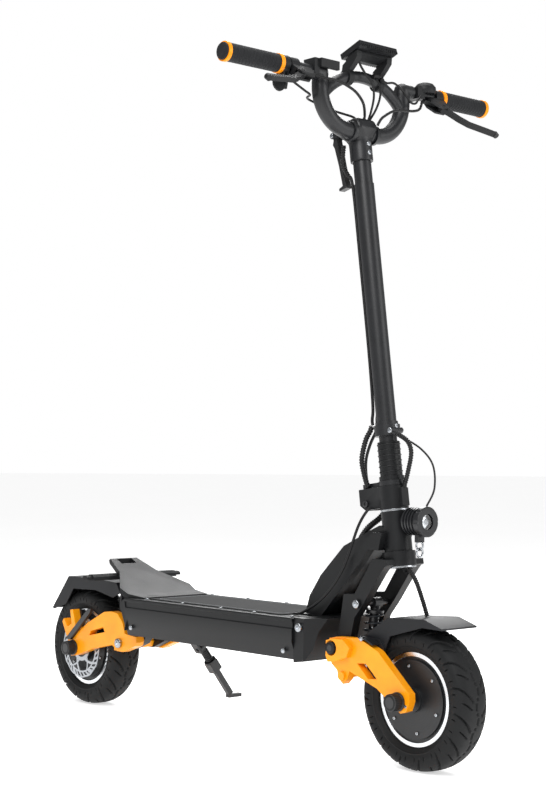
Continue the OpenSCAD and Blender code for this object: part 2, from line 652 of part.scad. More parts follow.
lamp_dx = 34;
module at_lamp() {
  translate([stem_x(lamp_dx, head_s1 - 21), 0, stem_z(lamp_dx, head_s1 - 21)])
    rotate([0, 90, 0]) children();
}
module headlamp() {
  color("#232527") {
    difference() {
      union() {
        at_lamp() cylinder(r = 23, h = 40);
        at_lamp() for (h = [3 : 7 : 24]) translate([0, 0, h]) cylinder(r = 25, h = 3);
        at_lamp() translate([0, 0, 34]) cylinder(r = 27, h = 10);
        at_lamp() translate([0, 0, -14]) cylinder(r = 12, h = 15);
      }
      at_lamp() translate([0, 0, 36]) cylinder(r = 22, h = 10);
      at_stem() translate([0, 0, head_s0]) cylinder(d = head_d, h = head_len);
    }
    at_lamp() translate([10, -8, 20]) cube([27, 16, 9]);
  }
  color("#d4d7da") at_lamp() {
    translate([43, 0, 25]) rotate([90, 0, 0]) rotate_extrude() translate([8, 0])
      circle(r = 1.8);
    translate([55.2, 0, 25]) rotate_extrude() translate([8, 0]) circle(r = 1.8);
  }
}
module headlamp_lens() {
  color("#dfe6ea") at_lamp() translate([0, 0, 36]) {
    cylinder(r = 22, h = 3);
    translate([0, 0, 2]) cylinder(r = 14, h = 5);
  }
}

// ---------- stem ----------

module stem_tube() {
  color("#2f3134") at_stem() difference() {
    union() {
      translate([0, 0, base_s0]) cylinder(r = 25, h = base_h);
      translate([0, 0, base_s0]) cylinder(r = 16.5, h = collar_s0 - base_s0 + 2);
      translate([0, 0, collar_s0]) cylinder(r = 24, h = collar_h - 4);
      translate([0, 0, collar_s0 + collar_h - 4]) cylinder(r = 21, h = 6);
      translate([0, 0, collar_s0]) cylinder(d = stem_d, h = tube_s1 - collar_s0);
      translate([20, 0, collar_s0 + 8]) rotate([-90, 0, 0]) cylinder(r = 6, h = 30, center = true);
      difference() {
        translate([0, 11.7, 0]) rotate([90, 0, 0]) linear_extrude(23.4) polygon([
          [fold_u - 14, fold_s - 5], [fold_u - 14, base_s0 + base_h], [-10, base_s0 + base_h],
          [-10, base_s0], [fold_u + 14, base_s0], [fold_u + 14, fold_s - 5],
          [fold_u + 7, fold_s - 12], [fold_u - 7, fold_s - 12]]);
        translate([fold_u, -30, fold_s]) rotate([-90, 0, 0])
          cylinder(d = fold_pin_d + 2 * run_fit, h = 60);
      }
    }
    translate([0, 0, collar_s0 + 30]) cylinder(d = stem_d - 2 * stem_wall, h = stem_len + 60);
  }
}
module lock_sleeve() {
  color("#2a2c2f") at_stem() translate([0, 0, sleeve_s0]) difference() {
    union() {
      cylinder(r = 20.5, h = sleeve_len);
      cylinder(r = 23, h = 8);
      for (k = [0 : 5]) translate([0, 0, 16 + 10 * k]) rotate_extrude()
        translate([20.4, 0]) circle(r = 1.4);
    }
    translate([0, 0, -1]) cylinder(r = 16.5 + run_fit, h = sleeve_len + 2);
  }
}
riser_z = bar_z - riser_h;
riser_x = bar_x - 2;
module stem_yoke() {
  post_d = stem_d - 2 * stem_wall;
  s = yoke_s0;
  color("#2a2c2f") difference() {
    union() {
      at_stem() translate([0, 0, tube_s1 - 60]) cylinder(d = post_d, h = 60);
      at_stem() translate([0, 0, tube_s1]) cylinder(d = post_d + 2, h = s - tube_s1 + 5);
      at_stem() translate([0, 0, s]) cylinder(r = 24, h = 40);
      at_stem() side_plate(-26, 26) polygon([[-24, s + 2], [22, s + 2], [30, s + 26],
        [33, s + 48], [20, s + 72], [-14, s + 76], [-40, s + 70], [-46, s + 58],
        [-30, s + 36]]);
      both() cross_bar([riser_x, riser_z], 19, 25, 33);
    }
    cross_bar([riser_x, riser_z], riser_d / 2, -60, 60);
    at_stem() translate([-66, -9, s + 44]) cube([30, 18, 40]);
  }
  color("#d4d7da") at_stem() for (h = [s + 14, s + 31])
    translate([20, 0, h]) rotate([0, 90, 0]) cylinder(r = 4.5, h = 9);
  color("#2a2c2f") at_stem() both() translate([-59, 8.5, s + 63]) rotate([-90, 0, 0])
    cylinder(r = 6, h = 4);
  color("#2a2c2f") at_stem() both() translate([-62, 9, s + 58]) cube([24, 3.5, 11]);
  color("#2a2c2f") at_stem() translate([-59, -12, s + 63]) rotate([-90, 0, 0])
    cylinder(r = 3, h = 24);
}
module fold_hook() {
  s = yoke_s0 + 63;
  color("#232527") at_stem() difference() {
    translate([0, 7, 0]) rotate([90, 0, 0]) linear_extrude(14) polygon([[-64, s + 4],
      [-60, s + 7], [-55, s + 5], [-53, s - 10], [-47, s - 60], [-41, s - 98], [-40, s - 106],
      [-60, s - 108], [-60, s - 103], [-50, s - 100], [-55, s - 60], [-62, s - 24],
      [-66, s - 16], [-63, s - 8]]);
    translate([-59, -30, s]) rotate([-90, 0, 0]) cylinder(r = 3 + run_fit, h = 60);
  }
}

// ---------- handlebar ----------

module arch(d = bar_d) {
  half = asin((riser_gap / 2 - 7) / arch_r);
  translate([bar_x - 1, 0, bar_z + arch_top - arch_r]) rotate([90, 0, 90])
    rotate([0, 0, 90 - half]) rotate_extrude(angle = 2 * half) translate([arch_r, 0])
    circle(d = d);
}
module handlebar() {
  lift = riser_h - bend_r;
  side = riser_gap / 2 - bend_r;
  color("#2f3134") {
    both() cross_bar([bar_x, bar_z], bar_r, riser_gap / 2 - 4, bar_w / 2 - 4);
    cross_bar([riser_x, riser_z], riser_d / 2, -side, side);
    both() translate([riser_x, side, riser_z + bend_r]) rotate([90, 0, 90])
      rotate([0, 0, -90]) rotate_extrude(angle = 90) translate([bend_r, 0])
      circle(d = riser_d);
    both() translate([riser_x, riser_gap / 2, riser_z + bend_r - 0.5])
      cylinder(d = riser_d, h = lift + 0.5);
    both() translate([riser_x, riser_gap / 2, bar_z]) sphere(d = riser_d);
    both() cross_bar([bar_x - 1, bar_z], 14.5, riser_gap / 2, riser_gap / 2 + 22);
    arch();
  }
}
module grips() {
  color("#27282a") both() {
    difference() {
      cross_bar([bar_x, bar_z], grip_d / 2, grip_y0 + 8, grip_y1 - 6);
      cross_bar([bar_x, bar_z], bar_r, 0, bar_w / 2 - 4);
      for (y = [grip_y0 + 22 : 12 : grip_y1 - 20]) translate([bar_x, y, bar_z])
        rotate([-90, 0, 0]) difference() {
          cylinder(r = grip_d, h = 3);
          translate([0, 0, -1]) cylinder(d = grip_d - 1.6, h = 5);
        }
    }
    cross_bar([bar_x, bar_z], grip_d / 2 - 1.5, bar_w / 2 - 4, bar_w / 2);
  }
}
module grip_rings() {
  color("#ffa114") both() for (y = [grip_y0, grip_y1 - 6]) difference() {
    cross_bar([bar_x, bar_z], grip_d / 2 + 1.5, y, y + (y == grip_y0 ? 8 : 7));
    cross_bar([bar_x, bar_z], bar_r, 0, bar_w);
  }
}
// Lever frame: X runs out of the handlebar, down and forward
module at_lever(side, y) {
  translate([bar_x, side * y, bar_z]) rotate([0, side > 0 ? left_dip : right_dip, 0])
    mirror([0, side > 0 ? 0 : 1, 0]) children();
}
module perch(side, y) {
  at_lever(side, y) {
    difference() {
      union() {
        translate([0, -11, 0]) rotate([-90, 0, 0]) cylinder(r = bar_r + 5, h = 20);
        translate([6, -11, -9]) cube([22, 20, 18]);
        linear_extrude(18, center = true) polygon([[14, -34], [26, -36], [40, -22], [40, 4],
          [24, 9], [10, 4], [12, -20]]);
        translate([20, -30, 0]) rotate([90, 0, 0]) cylinder(r = 4.5, h = 16);
      }
      translate([0, -70, 0]) rotate([-90, 0, 0]) cylinder(r = bar_r, h = 100);
      linear_extrude(10.4, center = true) polygon([[22, -60], [60, -60], [60, 20],
        [32, 20], [24, 0], [22, -24]]);
    }
    translate([32, -4, 0]) cylinder(r = 3, h = 20, center = true);
  }
}
module brake_perches() {
  color("#232527") {
    perch(-1, right_lever_y);
    perch(1, left_lever_y);
  }
}
module brake_lever(side, y) {
  color("#2b2d30") at_lever(side, y) difference() {
    union() {
      linear_extrude(9.6, center = true) polygon([[26, -10], [32, -12], [38, -9],
        [46, 6], [62, 24], [74, 44], [86, 96], [90, 112], [88, 118], [81, 114], [76, 94],
        [66, 50], [54, 32], [38, 14], [27, -1]]);
      translate([86, 114, 0]) rotate([0, 90, 0]) translate([0, 0, -4]) cylinder(r = 6, h = 8);
    }
    translate([32, -4, 0]) cylinder(r = 3 + run_fit, h = 30, center = true);
  }
}
module brake_lever_right() { brake_lever(-1, right_lever_y); }
module brake_lever_left() { brake_lever(1, left_lever_y); }

throttle_pin = [2, -24];
module throttle_pod() {
  y0 = -grip_y0 + 0.3;
  color("#232527") at_bar() {
    difference() {
      union() {
        cross_bar([0, 0], 17, y0, y0 + 13.7);
        translate([-9, y0, -28]) cube([20, 4, 20]);
        translate([-9, y0 + 10, -28]) cube([20, 3.7, 20]);
      }
      cross_bar([0, 0], bar_r, y0 - 20, y0 + 30);
      translate([-30, y0 + 4, -60]) cube([60, 6, 43]);
    }
    cross_bar(throttle_pin, 2.5, y0 + 1, y0 + 13);
  }
}
module throttle_paddle() {
  y0 = -grip_y0 + 0.3;
  color("#1f2123") at_bar() difference() {
    union() {
      side_plate(y0 + 4.3, y0 + 9.7) polygon([throttle_pin + [-5, 3], throttle_pin + [3, 5],
        throttle_pin + [7, -2], throttle_pin + [10, -12], throttle_pin + [8, -20],
        throttle_pin + [1, -20], throttle_pin + [1, -10], throttle_pin + [-5, -3]]);
      translate([8, -grip_y0 - 9, -39.5]) rotate([0, 80, 0]) cylinder(r = 13, h = 4, center = true);
      translate([8, -grip_y0 - 1, -39.5]) rotate([0, 80, 0]) cube([13, 20, 4], center = true);
    }
    cross_bar(throttle_pin, 2.5 + run_fit, -grip_y0 - 10, -grip_y0 + 30);
  }
}
switch_y = 149;
dome_y = 165;
module switch_pods() {
  color("#232527") at_bar() {
    difference() {
      union() {
        translate([-17, switch_y - 15, -11]) cube([34, 19, 22]);
        translate([6, dome_y, 6]) rotate_extrude() polygon([[0, -4], [20, -4], [22, 2],
          [21, 9], [16, 15], [9, 18], [0, 18.5]]);
      }
      cross_bar([0, 0], bar_r, switch_y - 40, switch_y + 50);
      translate([-18, switch_y - 6, -4]) rotate([0, 90, 0]) cylinder(r = 4 + gap, h = 5.4);
    }
    difference() {
      union() {
        translate([-15, -137, -9]) cube([30, 12, 31]);
        translate([-13, -126, 6]) cube([34, 46, 16]);
      }
      cross_bar([0, 0], bar_r, -160, -60);
      cross_bar([-1, 0], riser_d / 2 + gap, -riser_gap / 2 - 22.3, -60);
    }
  }
}
module horn_button() {
  color("#b3261e") at_bar() translate([-20, switch_y - 6, -4]) rotate([0, 90, 0])
    cylinder(r = 4, h = 4.4);
}
module at_display() {
  translate([bar_x + 17, 0, bar_z + 50]) rotate([0, -20, 0]) children();
}
module display() {
  color("#1f2123") at_display() difference() {
    translate([-27, -49, -5.5]) cube([54, 98, 11]);
    translate([-22, -44, 4]) cube([44, 88, 4]);
    for (y = [-45 : 5 : 45]) for (x = [-28, 25]) translate([x, y - 1, -6.5]) cube([3, 2, 6]);
  }
  color("#10161c") at_display() translate([-22 + gap, -44 + gap, 4])
    cube([44 - 2 * gap, 88 - 2 * gap, 1.2]);
}
module display_bracket() {
  color("#232527") {
    difference() {
      at_bar() both() {
        cross_bar([-1, 3], 15, 34, 46);
        side_plate(34, 46) polygon([[-9, 14], [9, 14], [21, 25], [31, 36], [33, 60], [0, 60],
          [2, 32], [-7, 26]]);
      }
      arch(bar_d + 0.3);
      at_display() translate([-60, -60, -8]) cube([120, 120, 80]);
    }
    at_display() translate([-12, -46, -10.8]) cube([24, 92, 5]);
  }
}

// ---------- kickstand ----------

stand_x = deck_x0 + 121;
stand_y = 12;
stand_z = deck_z0 - 20;
stand_lean = 37;
module at_stand() {
  translate([stand_x, stand_y, stand_z]) rotate([stand_lean, 0, 0]) children();
}
module kickstand_mount() {
  color("#232527") {
    difference() {
      union() {
        translate([stand_x - 26, stand_y - 26, deck_z0 - 4]) cube([52, 46, 4]);
        at_stand() both() translate([-10, 9, -8]) cube([20, 5, 40]);
      }
      translate([stand_x - 50, stand_y - 50, deck_z0]) cube([100, 100, 60]);
      at_stand() rotate([-90, 0, 0]) cylinder(r = 4, h = 60, center = true);
    }
    at_stand() rotate([-90, 0, 0]) cylinder(r = 4, h = 32, center = true);
  }
}
module kickstand_leg() {
  leg = 132;
  color("#232527") at_stand() difference() {
    union() {
      rotate([-90, 0, 0]) cylinder(r = 8.5, h = 17, center = true);
      translate([0, 0, -40]) cylinder(r = 7, h = 40);
      for (k = [0 : 5]) translate([0, 0, -12 - 4.6 * k]) rotate_extrude()
        translate([7.4, 0]) circle(r = 1.5);
      translate([0, 0, -42]) cylinder(r = 13, h = 4);
      translate([-10, -11, -66]) cube([20, 22, 24]);
      translate([-5, -6, -leg]) cube([10, 12, leg - 60]);
      translate([-6, -10, -leg - 2]) rotate([-stand_lean, 0, 0]) cube([12, 34, 7]);
    }
    rotate([-90, 0, 0]) cylinder(r = 4 + run_fit, h = 60, center = true);
  }
}

// ---------- cables ----------

// Route points are offsets from the handlebar's centre, and from the stem's own frame
throttle_route = [[4, -194.8, -21.2], [9, -184, -30], [12, -160, -42], [2, -137, -45],
  [-16, -127, -46], [-25, -106, -48], [-22, -56, -58], [-10, -16, -66], [-8, -9, -72.4]];
right_route = [[16, -137.6, -12], [17, -132, -12], [24, -116, -15], [30, -95, -17], [33, -70, -24],
  [30, -45, -32], [22, -20, -46], [9, -3, -62], [5, -1, -72.6]];
left_route = [[13, 153.4, -15], [14, 148, -17], [23, 132, -34], [29, 107, -43], [29, 60, -49],
  [27, 29, -65], [24, 19, -78], [22.5, 18, -83]];
display_route = [[18, -28, 37], [17, -23, 26], [20, -9, 7], [23, 3, -8], [19, 11, -29],
  [9, 14, -54], [0, 14, -72.6]];
plug_route = [[16, 20, 6], [20, 27, -8], [17, 29, -28], [9, 26, -50], [-6, 21, -72.4]];
switch_route = [[17, 31, 8], [21.5, 42, 2], [23, 62, 4], [25, 84, -8], [27, 102, -26],
  [25, 118, -26], [21, 130, -16], [20, 138, -8]];
rear_route = [[-12, -31.6, 788], [-17, -31.6, 770], [-24, -26, 752], [-26, -13, 735],
  [-21.4, -8.5, 712], [-20.6, -8, 560], [-20.4, -8, 400], [-22, -9, 300], [-26.6, -9.5, 272],
  [-26.6, -9.5, 262]];
rear_route_b = [[-12, 31.6, 788], [-17, 31.6, 770], [-24, 26, 752], [-26, 13, 735],
  [-22, 3, 712], [-21.5, 2, 560], [-21.5, 2, 400], [-23, 3, 300], [-27.8, 4, 272],
  [-27.8, 4, 262]];
loop_route = [[-28.6, -10, 260.4], [-34, -10, 252], [-46, -12, 236], [-58, -14, 204],
  [-56, -14, 176], [-46, -17, 148]];
loop_route_b = [[-28.5, 4, 260.3], [-34, 4, 250], [-52, 4, 228], [-68, 6, 200], [-74, 10, 165],
  [-69.3, 14, 130]];
down_route = [[386, -25, 462], [374, -40, 430], [344, -50, 350], [300, -56, 296],
  [248, -60, 264], [222, -60, 259]];
curl_route = [[387.6, 16.9, 455.4], [378, 10, 442], [356, 3, 424], [340, 0, 404]];
lamp_route = [[26.5, 0, 237.6], [48, 0, 222], [54, 0, 200], [42, 0, 168], [29.7, 0, 143.4]];
lamp_route_b = [[21.5, 9, 236.2], [70, 8, 206], [98, 6, 172], [96, 6, 130], [74.4, 5, 101.2]];
fork_route = [[461, 0, 355.8], [480, 0, 334], [496, 0, 302], [508, 0, 273]];
module stem_cables() {
  color("#17181a") {
    at_bar() {
      cable(throttle_route, 2.2, 5);
      cable(right_route, 2.6);
      cable(left_route, 2.6);
      cable(display_route, 2.2);
      cable(plug_route, 2.2);
      cable(switch_route, 2.2);
      cross_bar([14.5, 12.6], 4.5, 14, 33);
    }
    at_stem() {
      cable(rear_route, 3, 5, [0, 1, 0]);
      cable(rear_route_b, 3, 5, [0, 1, 0]);
    }
  }
}
module hinge_cables() {
  color("#17181a") at_stem() {
    cable(loop_route, 4);
    cable(loop_route_b, 3);
    cable(lamp_route, 3.5);
    cable(lamp_route_b, 1.8);
  }
}
module neck_cables() {
  color("#17181a") {
    cable(down_route, 2.6);
    cable(curl_route, 5);
  }
}
module fork_cable() {
  color("#17181a") cable(fork_route, 3.4);
}

deck_shell();
deck_plate();
deck_mat();
battery_pack();
controllers();
neck();
head_bearings();
tail_plate();
rear_fender();
deck_bolts();
rear_pins();
headlamp();
headlamp_lens();
kickstand_mount();
neck_cables();
fork();
steerer();
hinge_block();
fork_pins();
fork_cable();
hinge_cables();
front_shock_body();
front_shock_rod();
front_shock_spring();
front_arms();
front_axle();
front_fender();
front_caliper();
front_tyre();
front_rim();
front_hub();
front_disc();
rear_arms();
rear_axle();
rear_caliper();
rear_tyre();
rear_rim();
rear_hub();
rear_disc();
rear_shock_body();
rear_shock_rod();
rear_shock_spring();
stem_tube();
stem_yoke();
handlebar();
grips();
grip_rings();
brake_perches();
throttle_pod();
switch_pods();
display();
display_bracket();
stem_cables();
lock_sleeve();
fold_hook();
brake_lever_right();
brake_lever_left();
throttle_paddle();
kickstand_leg();
horn_button();
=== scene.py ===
import json
import math

import bmesh
import bpy
import numpy as np
from mathutils import Matrix, Vector


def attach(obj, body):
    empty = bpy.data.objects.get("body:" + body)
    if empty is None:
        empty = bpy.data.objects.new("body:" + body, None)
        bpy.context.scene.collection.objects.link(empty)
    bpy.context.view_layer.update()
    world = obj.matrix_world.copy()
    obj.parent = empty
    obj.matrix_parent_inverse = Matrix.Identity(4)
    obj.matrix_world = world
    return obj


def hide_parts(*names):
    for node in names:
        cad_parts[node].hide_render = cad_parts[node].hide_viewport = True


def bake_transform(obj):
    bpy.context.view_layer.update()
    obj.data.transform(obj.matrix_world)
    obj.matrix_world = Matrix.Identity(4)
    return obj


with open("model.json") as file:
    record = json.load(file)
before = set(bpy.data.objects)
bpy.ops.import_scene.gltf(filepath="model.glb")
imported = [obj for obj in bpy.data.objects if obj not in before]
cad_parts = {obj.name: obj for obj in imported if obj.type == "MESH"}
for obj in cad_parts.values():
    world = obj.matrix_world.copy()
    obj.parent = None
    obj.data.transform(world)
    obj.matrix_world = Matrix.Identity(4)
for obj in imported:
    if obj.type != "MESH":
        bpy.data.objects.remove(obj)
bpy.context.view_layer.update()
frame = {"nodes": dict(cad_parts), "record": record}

mm = 0.001
mergeDistance = 1e-6  # points nearer than this are one point
sharpAngle = math.radians(40)
axleHeight = 127.5
nodes = frame["nodes"]
record = frame["record"]
bodyOf = {n: b for b, members in record["behaviour"]["bodies"].items() for n in members}
print("frame loaded:", len(nodes), "nodes")


# Colours and node trees.

def linearColour(hexText):
    # the curve from sRGB to linear light, with full alpha
    channels = [int(hexText[i:i + 2], 16) / 255 for i in (1, 3, 5)]
    return [c / 12.92 if c <= 0.04045 else ((c + 0.055) / 1.055) ** 2.4 for c in channels] + [1]


def addNode(tree, kind, settings=None, links=None):
    # adds a node, sets its values and joins the given sockets to its inputs
    node = tree.nodes.new(kind)
    for key, value in (settings or {}).items():
        if isinstance(key, int) or key in node.inputs:
            node.inputs[key].default_value = value
        else:
            setattr(node, key, value)
    for key, socket in (links or {}).items():
        tree.links.new(socket, node.inputs[key])
    return node


coatRoughness = 0.15  # a clear coat is glossier than the paint under it
plainSpecular = 0.28  # dark plastics and paints reflect weakly


def makeFinish(name, look):
    # a coarse noise shifts the colour and the gloss, and a fine one raises the grain
    material = bpy.data.materials.new(name)
    material.use_nodes = True
    tree = material.node_tree
    shader = tree.nodes["Principled BSDF"]
    shader.inputs["Metallic"].default_value = look.get("metallic", 0)
    shader.inputs["IOR"].default_value = look.get("ior", 1.5)
    shader.inputs["Coat Weight"].default_value = look.get("coat", 0)
    shader.inputs["Coat Roughness"].default_value = coatRoughness
    shader.inputs["Specular IOR Level"].default_value = look.get("specular", plainSpecular)
    place = addNode(tree, "ShaderNodeTexCoord").outputs["Object"]
    patch = addNode(tree, "ShaderNodeTexNoise", {"Scale": 1000 / look["patchMm"], "Detail": 3.0},
                    {"Vector": place})
    grain = addNode(tree, "ShaderNodeTexNoise", {"Scale": 1000 / look["grainMm"], "Detail": 2.0},
                    {"Vector": place})
    mixed = addNode(tree, "ShaderNodeMath", {"operation": "ADD"},
                    {0: patch.outputs["Fac"], 1: grain.outputs["Fac"]})
    tone = addNode(tree, "ShaderNodeMapRange", {"From Min": 0.75, "From Max": 1.25},
                   {"Value": mixed.outputs[0]})
    colour = addNode(tree, "ShaderNodeMix", {"data_type": "RGBA", 6: linearColour(look["dark"]),
                                             7: linearColour(look["light"])}, {0: tone.outputs[0]})
    rough = addNode(tree, "ShaderNodeMapRange", {"To Min": look["rough"] - look["roughShift"],
                                                 "To Max": look["rough"] + look["roughShift"]},
                    {"Value": patch.outputs["Fac"]})
    bump = addNode(tree, "ShaderNodeBump", {"Strength": look["bump"], "Distance": look["bumpMm"] * mm},
                   {"Height": grain.outputs["Fac"]})
    tree.links.new(colour.outputs[2], shader.inputs["Base Color"])
    tree.links.new(rough.outputs[0], shader.inputs["Roughness"])
    tree.links.new(bump.outputs[0], shader.inputs["Normal"])
    return material


finishLooks = {
    # powder coat on aluminium: polyester film baked to a satin skin with a fine orange peel
    "satinPowderCoat": dict(dark="#0c0d0e", light="#131416", rough=0.42, roughShift=0.05, patchMm=60,
                            grainMm=1.1, bump=0.22, bumpMm=0.12, ior=1.5),
    # the same coat with sand in it, for grip under a shoe, so it is flatter and rougher
    "texturedPowderCoat": dict(dark="#0e0f10", light="#151618", rough=0.58, roughShift=0.06, patchMm=50,
                               grainMm=1.4, bump=0.5, bumpMm=0.25, ior=1.5),
    # black anodised tube: dyed oxide over drawn aluminium, a soft metallic sheen
    "anodisedBlack": dict(dark="#101113", light="#191a1d", rough=0.38, roughShift=0.05, patchMm=45,
                          grainMm=0.9, bump=0.12, bumpMm=0.06, ior=1.55, specular=0.4),
    # orange powder coat on cast aluminium: saturated, satin, slight peel
    "orangePowderCoat": dict(dark="#f59300", light="#ffa50f", rough=0.36, roughShift=0.05, patchMm=40,
                             grainMm=1.2, bump=0.2, bumpMm=0.12, ior=1.5, coat=0.15),
    # orange anodised rings
    "anodisedOrange": dict(dark="#f08a00", light="#ff9c08", rough=0.33, roughShift=0.04, patchMm=20,
                           grainMm=0.7, bump=0.1, bumpMm=0.05, ior=1.5),
    # black zinc on steel, a little warmer and shinier than the paint
    "blackZincSteel": dict(dark="#121213", light="#1d1d1f", rough=0.4, roughShift=0.08, patchMm=18,
                           grainMm=0.8, bump=0.15, bumpMm=0.08, ior=1.6, specular=0.4),
    # black oxide pins
    "blackOxideSteel": dict(dark="#151517", light="#222225", rough=0.35, roughShift=0.08, patchMm=14,
                            grainMm=0.6, bump=0.12, bumpMm=0.06, ior=1.6, specular=0.4),
    # moulded ABS with a spark-eroded grain
    "mouldedBlackAbs": dict(dark="#0f1011", light="#17181a", rough=0.5, roughShift=0.05, patchMm=40,
                            grainMm=0.8, bump=0.3, bumpMm=0.1, ior=1.53),
    # fender: polypropylene with a wider, softer grain that catches more light
    "mouldedFenderPlastic": dict(dark="#131416", light="#1c1d20", rough=0.48, roughShift=0.06, patchMm=70,
                                 grainMm=1.0, bump=0.3, bumpMm=0.12, ior=1.5),
    # grip: thermoplastic rubber, matt, fine skin
    "gripRubber": dict(dark="#151618", light="#1f2022", rough=0.68, roughShift=0.06, patchMm=14,
                       grainMm=0.6, bump=0.35, bumpMm=0.1, ior=1.48),
    # mat: matt EPDM rubber
    "matRubber": dict(dark="#161718", light="#202122", rough=0.8, roughShift=0.06, patchMm=40,
                      grainMm=0.9, bump=0.45, bumpMm=0.15, ior=1.48),
    # tyre: carbon-black rubber from a mould, dull with a faint bloom
    "tyreRubber": dict(dark="#0b0c0d", light="#131415", rough=0.62, roughShift=0.08, patchMm=26,
                       grainMm=0.9, bump=0.35, bumpMm=0.12, ior=1.5),
    # lamp bowl: aluminium vapour on plastic
    "lampChrome": dict(dark="#b4b8bc", light="#d6d9dc", rough=0.1, roughShift=0.03, patchMm=8,
                       grainMm=3.0, bump=0.25, bumpMm=0.3, metallic=1),
    # cable sleeve: extruded PVC, satin
    "cableVinyl": dict(dark="#0e0e0f", light="#161617", rough=0.45, roughShift=0.06, patchMm=12,
                       grainMm=0.7, bump=0.2, bumpMm=0.06, ior=1.52),
    # bright chrome plate on bolt heads
    "chromePlate": dict(dark="#8d9094", light="#b5b8bb", rough=0.2, roughShift=0.04, patchMm=6,
                        grainMm=0.5, bump=0.05, bumpMm=0.02, metallic=1),
    # ground bearing steel
    "groundSteel": dict(dark="#a9adb1", light="#c9ccd0", rough=0.26, roughShift=0.06, patchMm=10,
                        grainMm=0.4, bump=0.1, bumpMm=0.02, metallic=1),
    # spring wire: steel under a gloss dark grey powder coat
    "coatedSpringWire": dict(dark="#1c1e21", light="#2b2e32", rough=0.3, roughShift=0.05, patchMm=12,
                             grainMm=0.8, bump=0.12, bumpMm=0.05, ior=1.5),
    # red ABS push button
    "glossRedAbs": dict(dark="#a01c16", light="#bb2a22", rough=0.25, roughShift=0.04, patchMm=3,
                        grainMm=0.4, bump=0.08, bumpMm=0.02, ior=1.53),
    # heat-shrink wrap on the battery, blue PVC film
    "shrinkWrap": dict(dark="#24597a", light="#2f6f8f", rough=0.28, roughShift=0.06, patchMm=30,
                       grainMm=2.0, bump=0.25, bumpMm=0.2, ior=1.53),
    # die-cast controller case
    "castAluminium": dict(dark="#747a80", light="#8b9197", rough=0.5, roughShift=0.06, patchMm=15,
                          grainMm=0.8, bump=0.35, bumpMm=0.08, metallic=1),
    # pad printing ink on the mat, a plain border line
    "greyInk": dict(dark="#777a7d", light="#8d9093", rough=0.7, roughShift=0.05, patchMm=8,
                    grainMm=0.6, bump=0.2, bumpMm=0.05, ior=1.48),
    # display housing: ABS with a finer, glossier skin
    "satinBlackAbs": dict(dark="#0f1011", light="#17181a", rough=0.32, roughShift=0.04, patchMm=20,
                          grainMm=0.7, bump=0.15, bumpMm=0.05, ior=1.53),
}
finish = {name: makeFinish(name, look) for name, look in finishLooks.items()}


def makeTurnedMetal(name, look):
    # rings about the wheel's axle: a sine of the distance from the axle, broken up by noise
    material = bpy.data.materials.new(name)
    material.use_nodes = True
    tree = material.node_tree
    shader = tree.nodes["Principled BSDF"]
    shader.inputs["Metallic"].default_value = look["metallic"]
    place = addNode(tree, "ShaderNodeTexCoord").outputs["Object"]
    centred = addNode(tree, "ShaderNodeMapping", {"Location": look["centre"], "Scale": (1, 0, 1)},
                      {"Vector": place})
    distance = addNode(tree, "ShaderNodeVectorMath", {"operation": "LENGTH"}, {0: centred.outputs[0]})
    grain = addNode(tree, "ShaderNodeTexNoise", {"Scale": 1000 / look["patchMm"], "Detail": 3.0},
                    {"Vector": place})
    rings = addNode(tree, "ShaderNodeTexNoise", {"noise_dimensions": "1D", "Scale": 1.0, "Detail": 2.0})
    spread = addNode(tree, "ShaderNodeMath", {"operation": "MULTIPLY", 1: 1000 / look["ringMm"]},
                     {0: distance.outputs["Value"]})
    tree.links.new(spread.outputs[0], rings.inputs["W"])
    tone = addNode(tree, "ShaderNodeMapRange", {"From Min": 0.3, "From Max": 0.7}, {"Value": rings.outputs["Fac"]})
    colour = addNode(tree, "ShaderNodeMix", {"data_type": "RGBA", 6: linearColour(look["dark"]),
                                             7: linearColour(look["light"])}, {0: tone.outputs[0]})
    rough = addNode(tree, "ShaderNodeMapRange", {"To Min": look["rough"] - 0.08, "To Max": look["rough"] + 0.08},
                    {"Value": grain.outputs["Fac"]})
    bump = addNode(tree, "ShaderNodeBump", {"Strength": look["bump"], "Distance": look["bumpMm"] * mm},
                   {"Height": rings.outputs["Fac"]})
    tree.links.new(colour.outputs[2], shader.inputs["Base Color"])
    tree.links.new(rough.outputs[0], shader.inputs["Roughness"])
    tree.links.new(bump.outputs[0], shader.inputs["Normal"])
    return material


# clear polycarbonate: hard gloss, bends light strongly
lensLook = dict(dark="#fafbfc", light="#ffffff", rough=0.03, roughShift=0.01, patchMm=12, grainMm=4.0,
                bump=0.02, bumpMm=0.05, ior=1.58)
clear = makeFinish("clearPolycarbonate", lensLook)
clear.node_tree.nodes["Principled BSDF"].inputs["Transmission Weight"].default_value = 1
finish["clearPolycarbonate"] = clear

wheel = dict(frontX=500 * mm, rearX=-500 * mm, axleZ=axleHeight * mm)
turnedLooks = {
    # turned and clear-coated rim edge: bright aluminium with fine tool marks
    "turnedAluminium": dict(metallic=1, dark="#c3c6ca", light="#eef0f2", rough=0.24, patchMm=20, ringMm=0.7,
                            bump=0.15, bumpMm=0.03),
    # ground stainless brake disc, greyer
    "groundDiscSteel": dict(metallic=1, dark="#8f9296", light="#b5b8bc", rough=0.3, patchMm=14, ringMm=0.8,
                            bump=0.2, bumpMm=0.03),
    # painted motor cover: satin black over a turned face, so it keeps faint rings
    "turnedBlackCover": dict(metallic=0, dark="#141517", light="#1e2022", rough=0.42, patchMm=30, ringMm=1.6,
                             bump=0.18, bumpMm=0.08),
}
for side, x in (("Front", wheel["frontX"]), ("Rear", wheel["rearX"])):
    for name, look in turnedLooks.items():
        # the mapping scales before it moves, so the y offset is left at zero
        finish[name + side] = makeTurnedMetal(name + side, dict(look, centre=(-x, 0, -wheel["axleZ"])))
print("finishes ready:", len(finish))


# Meshes.

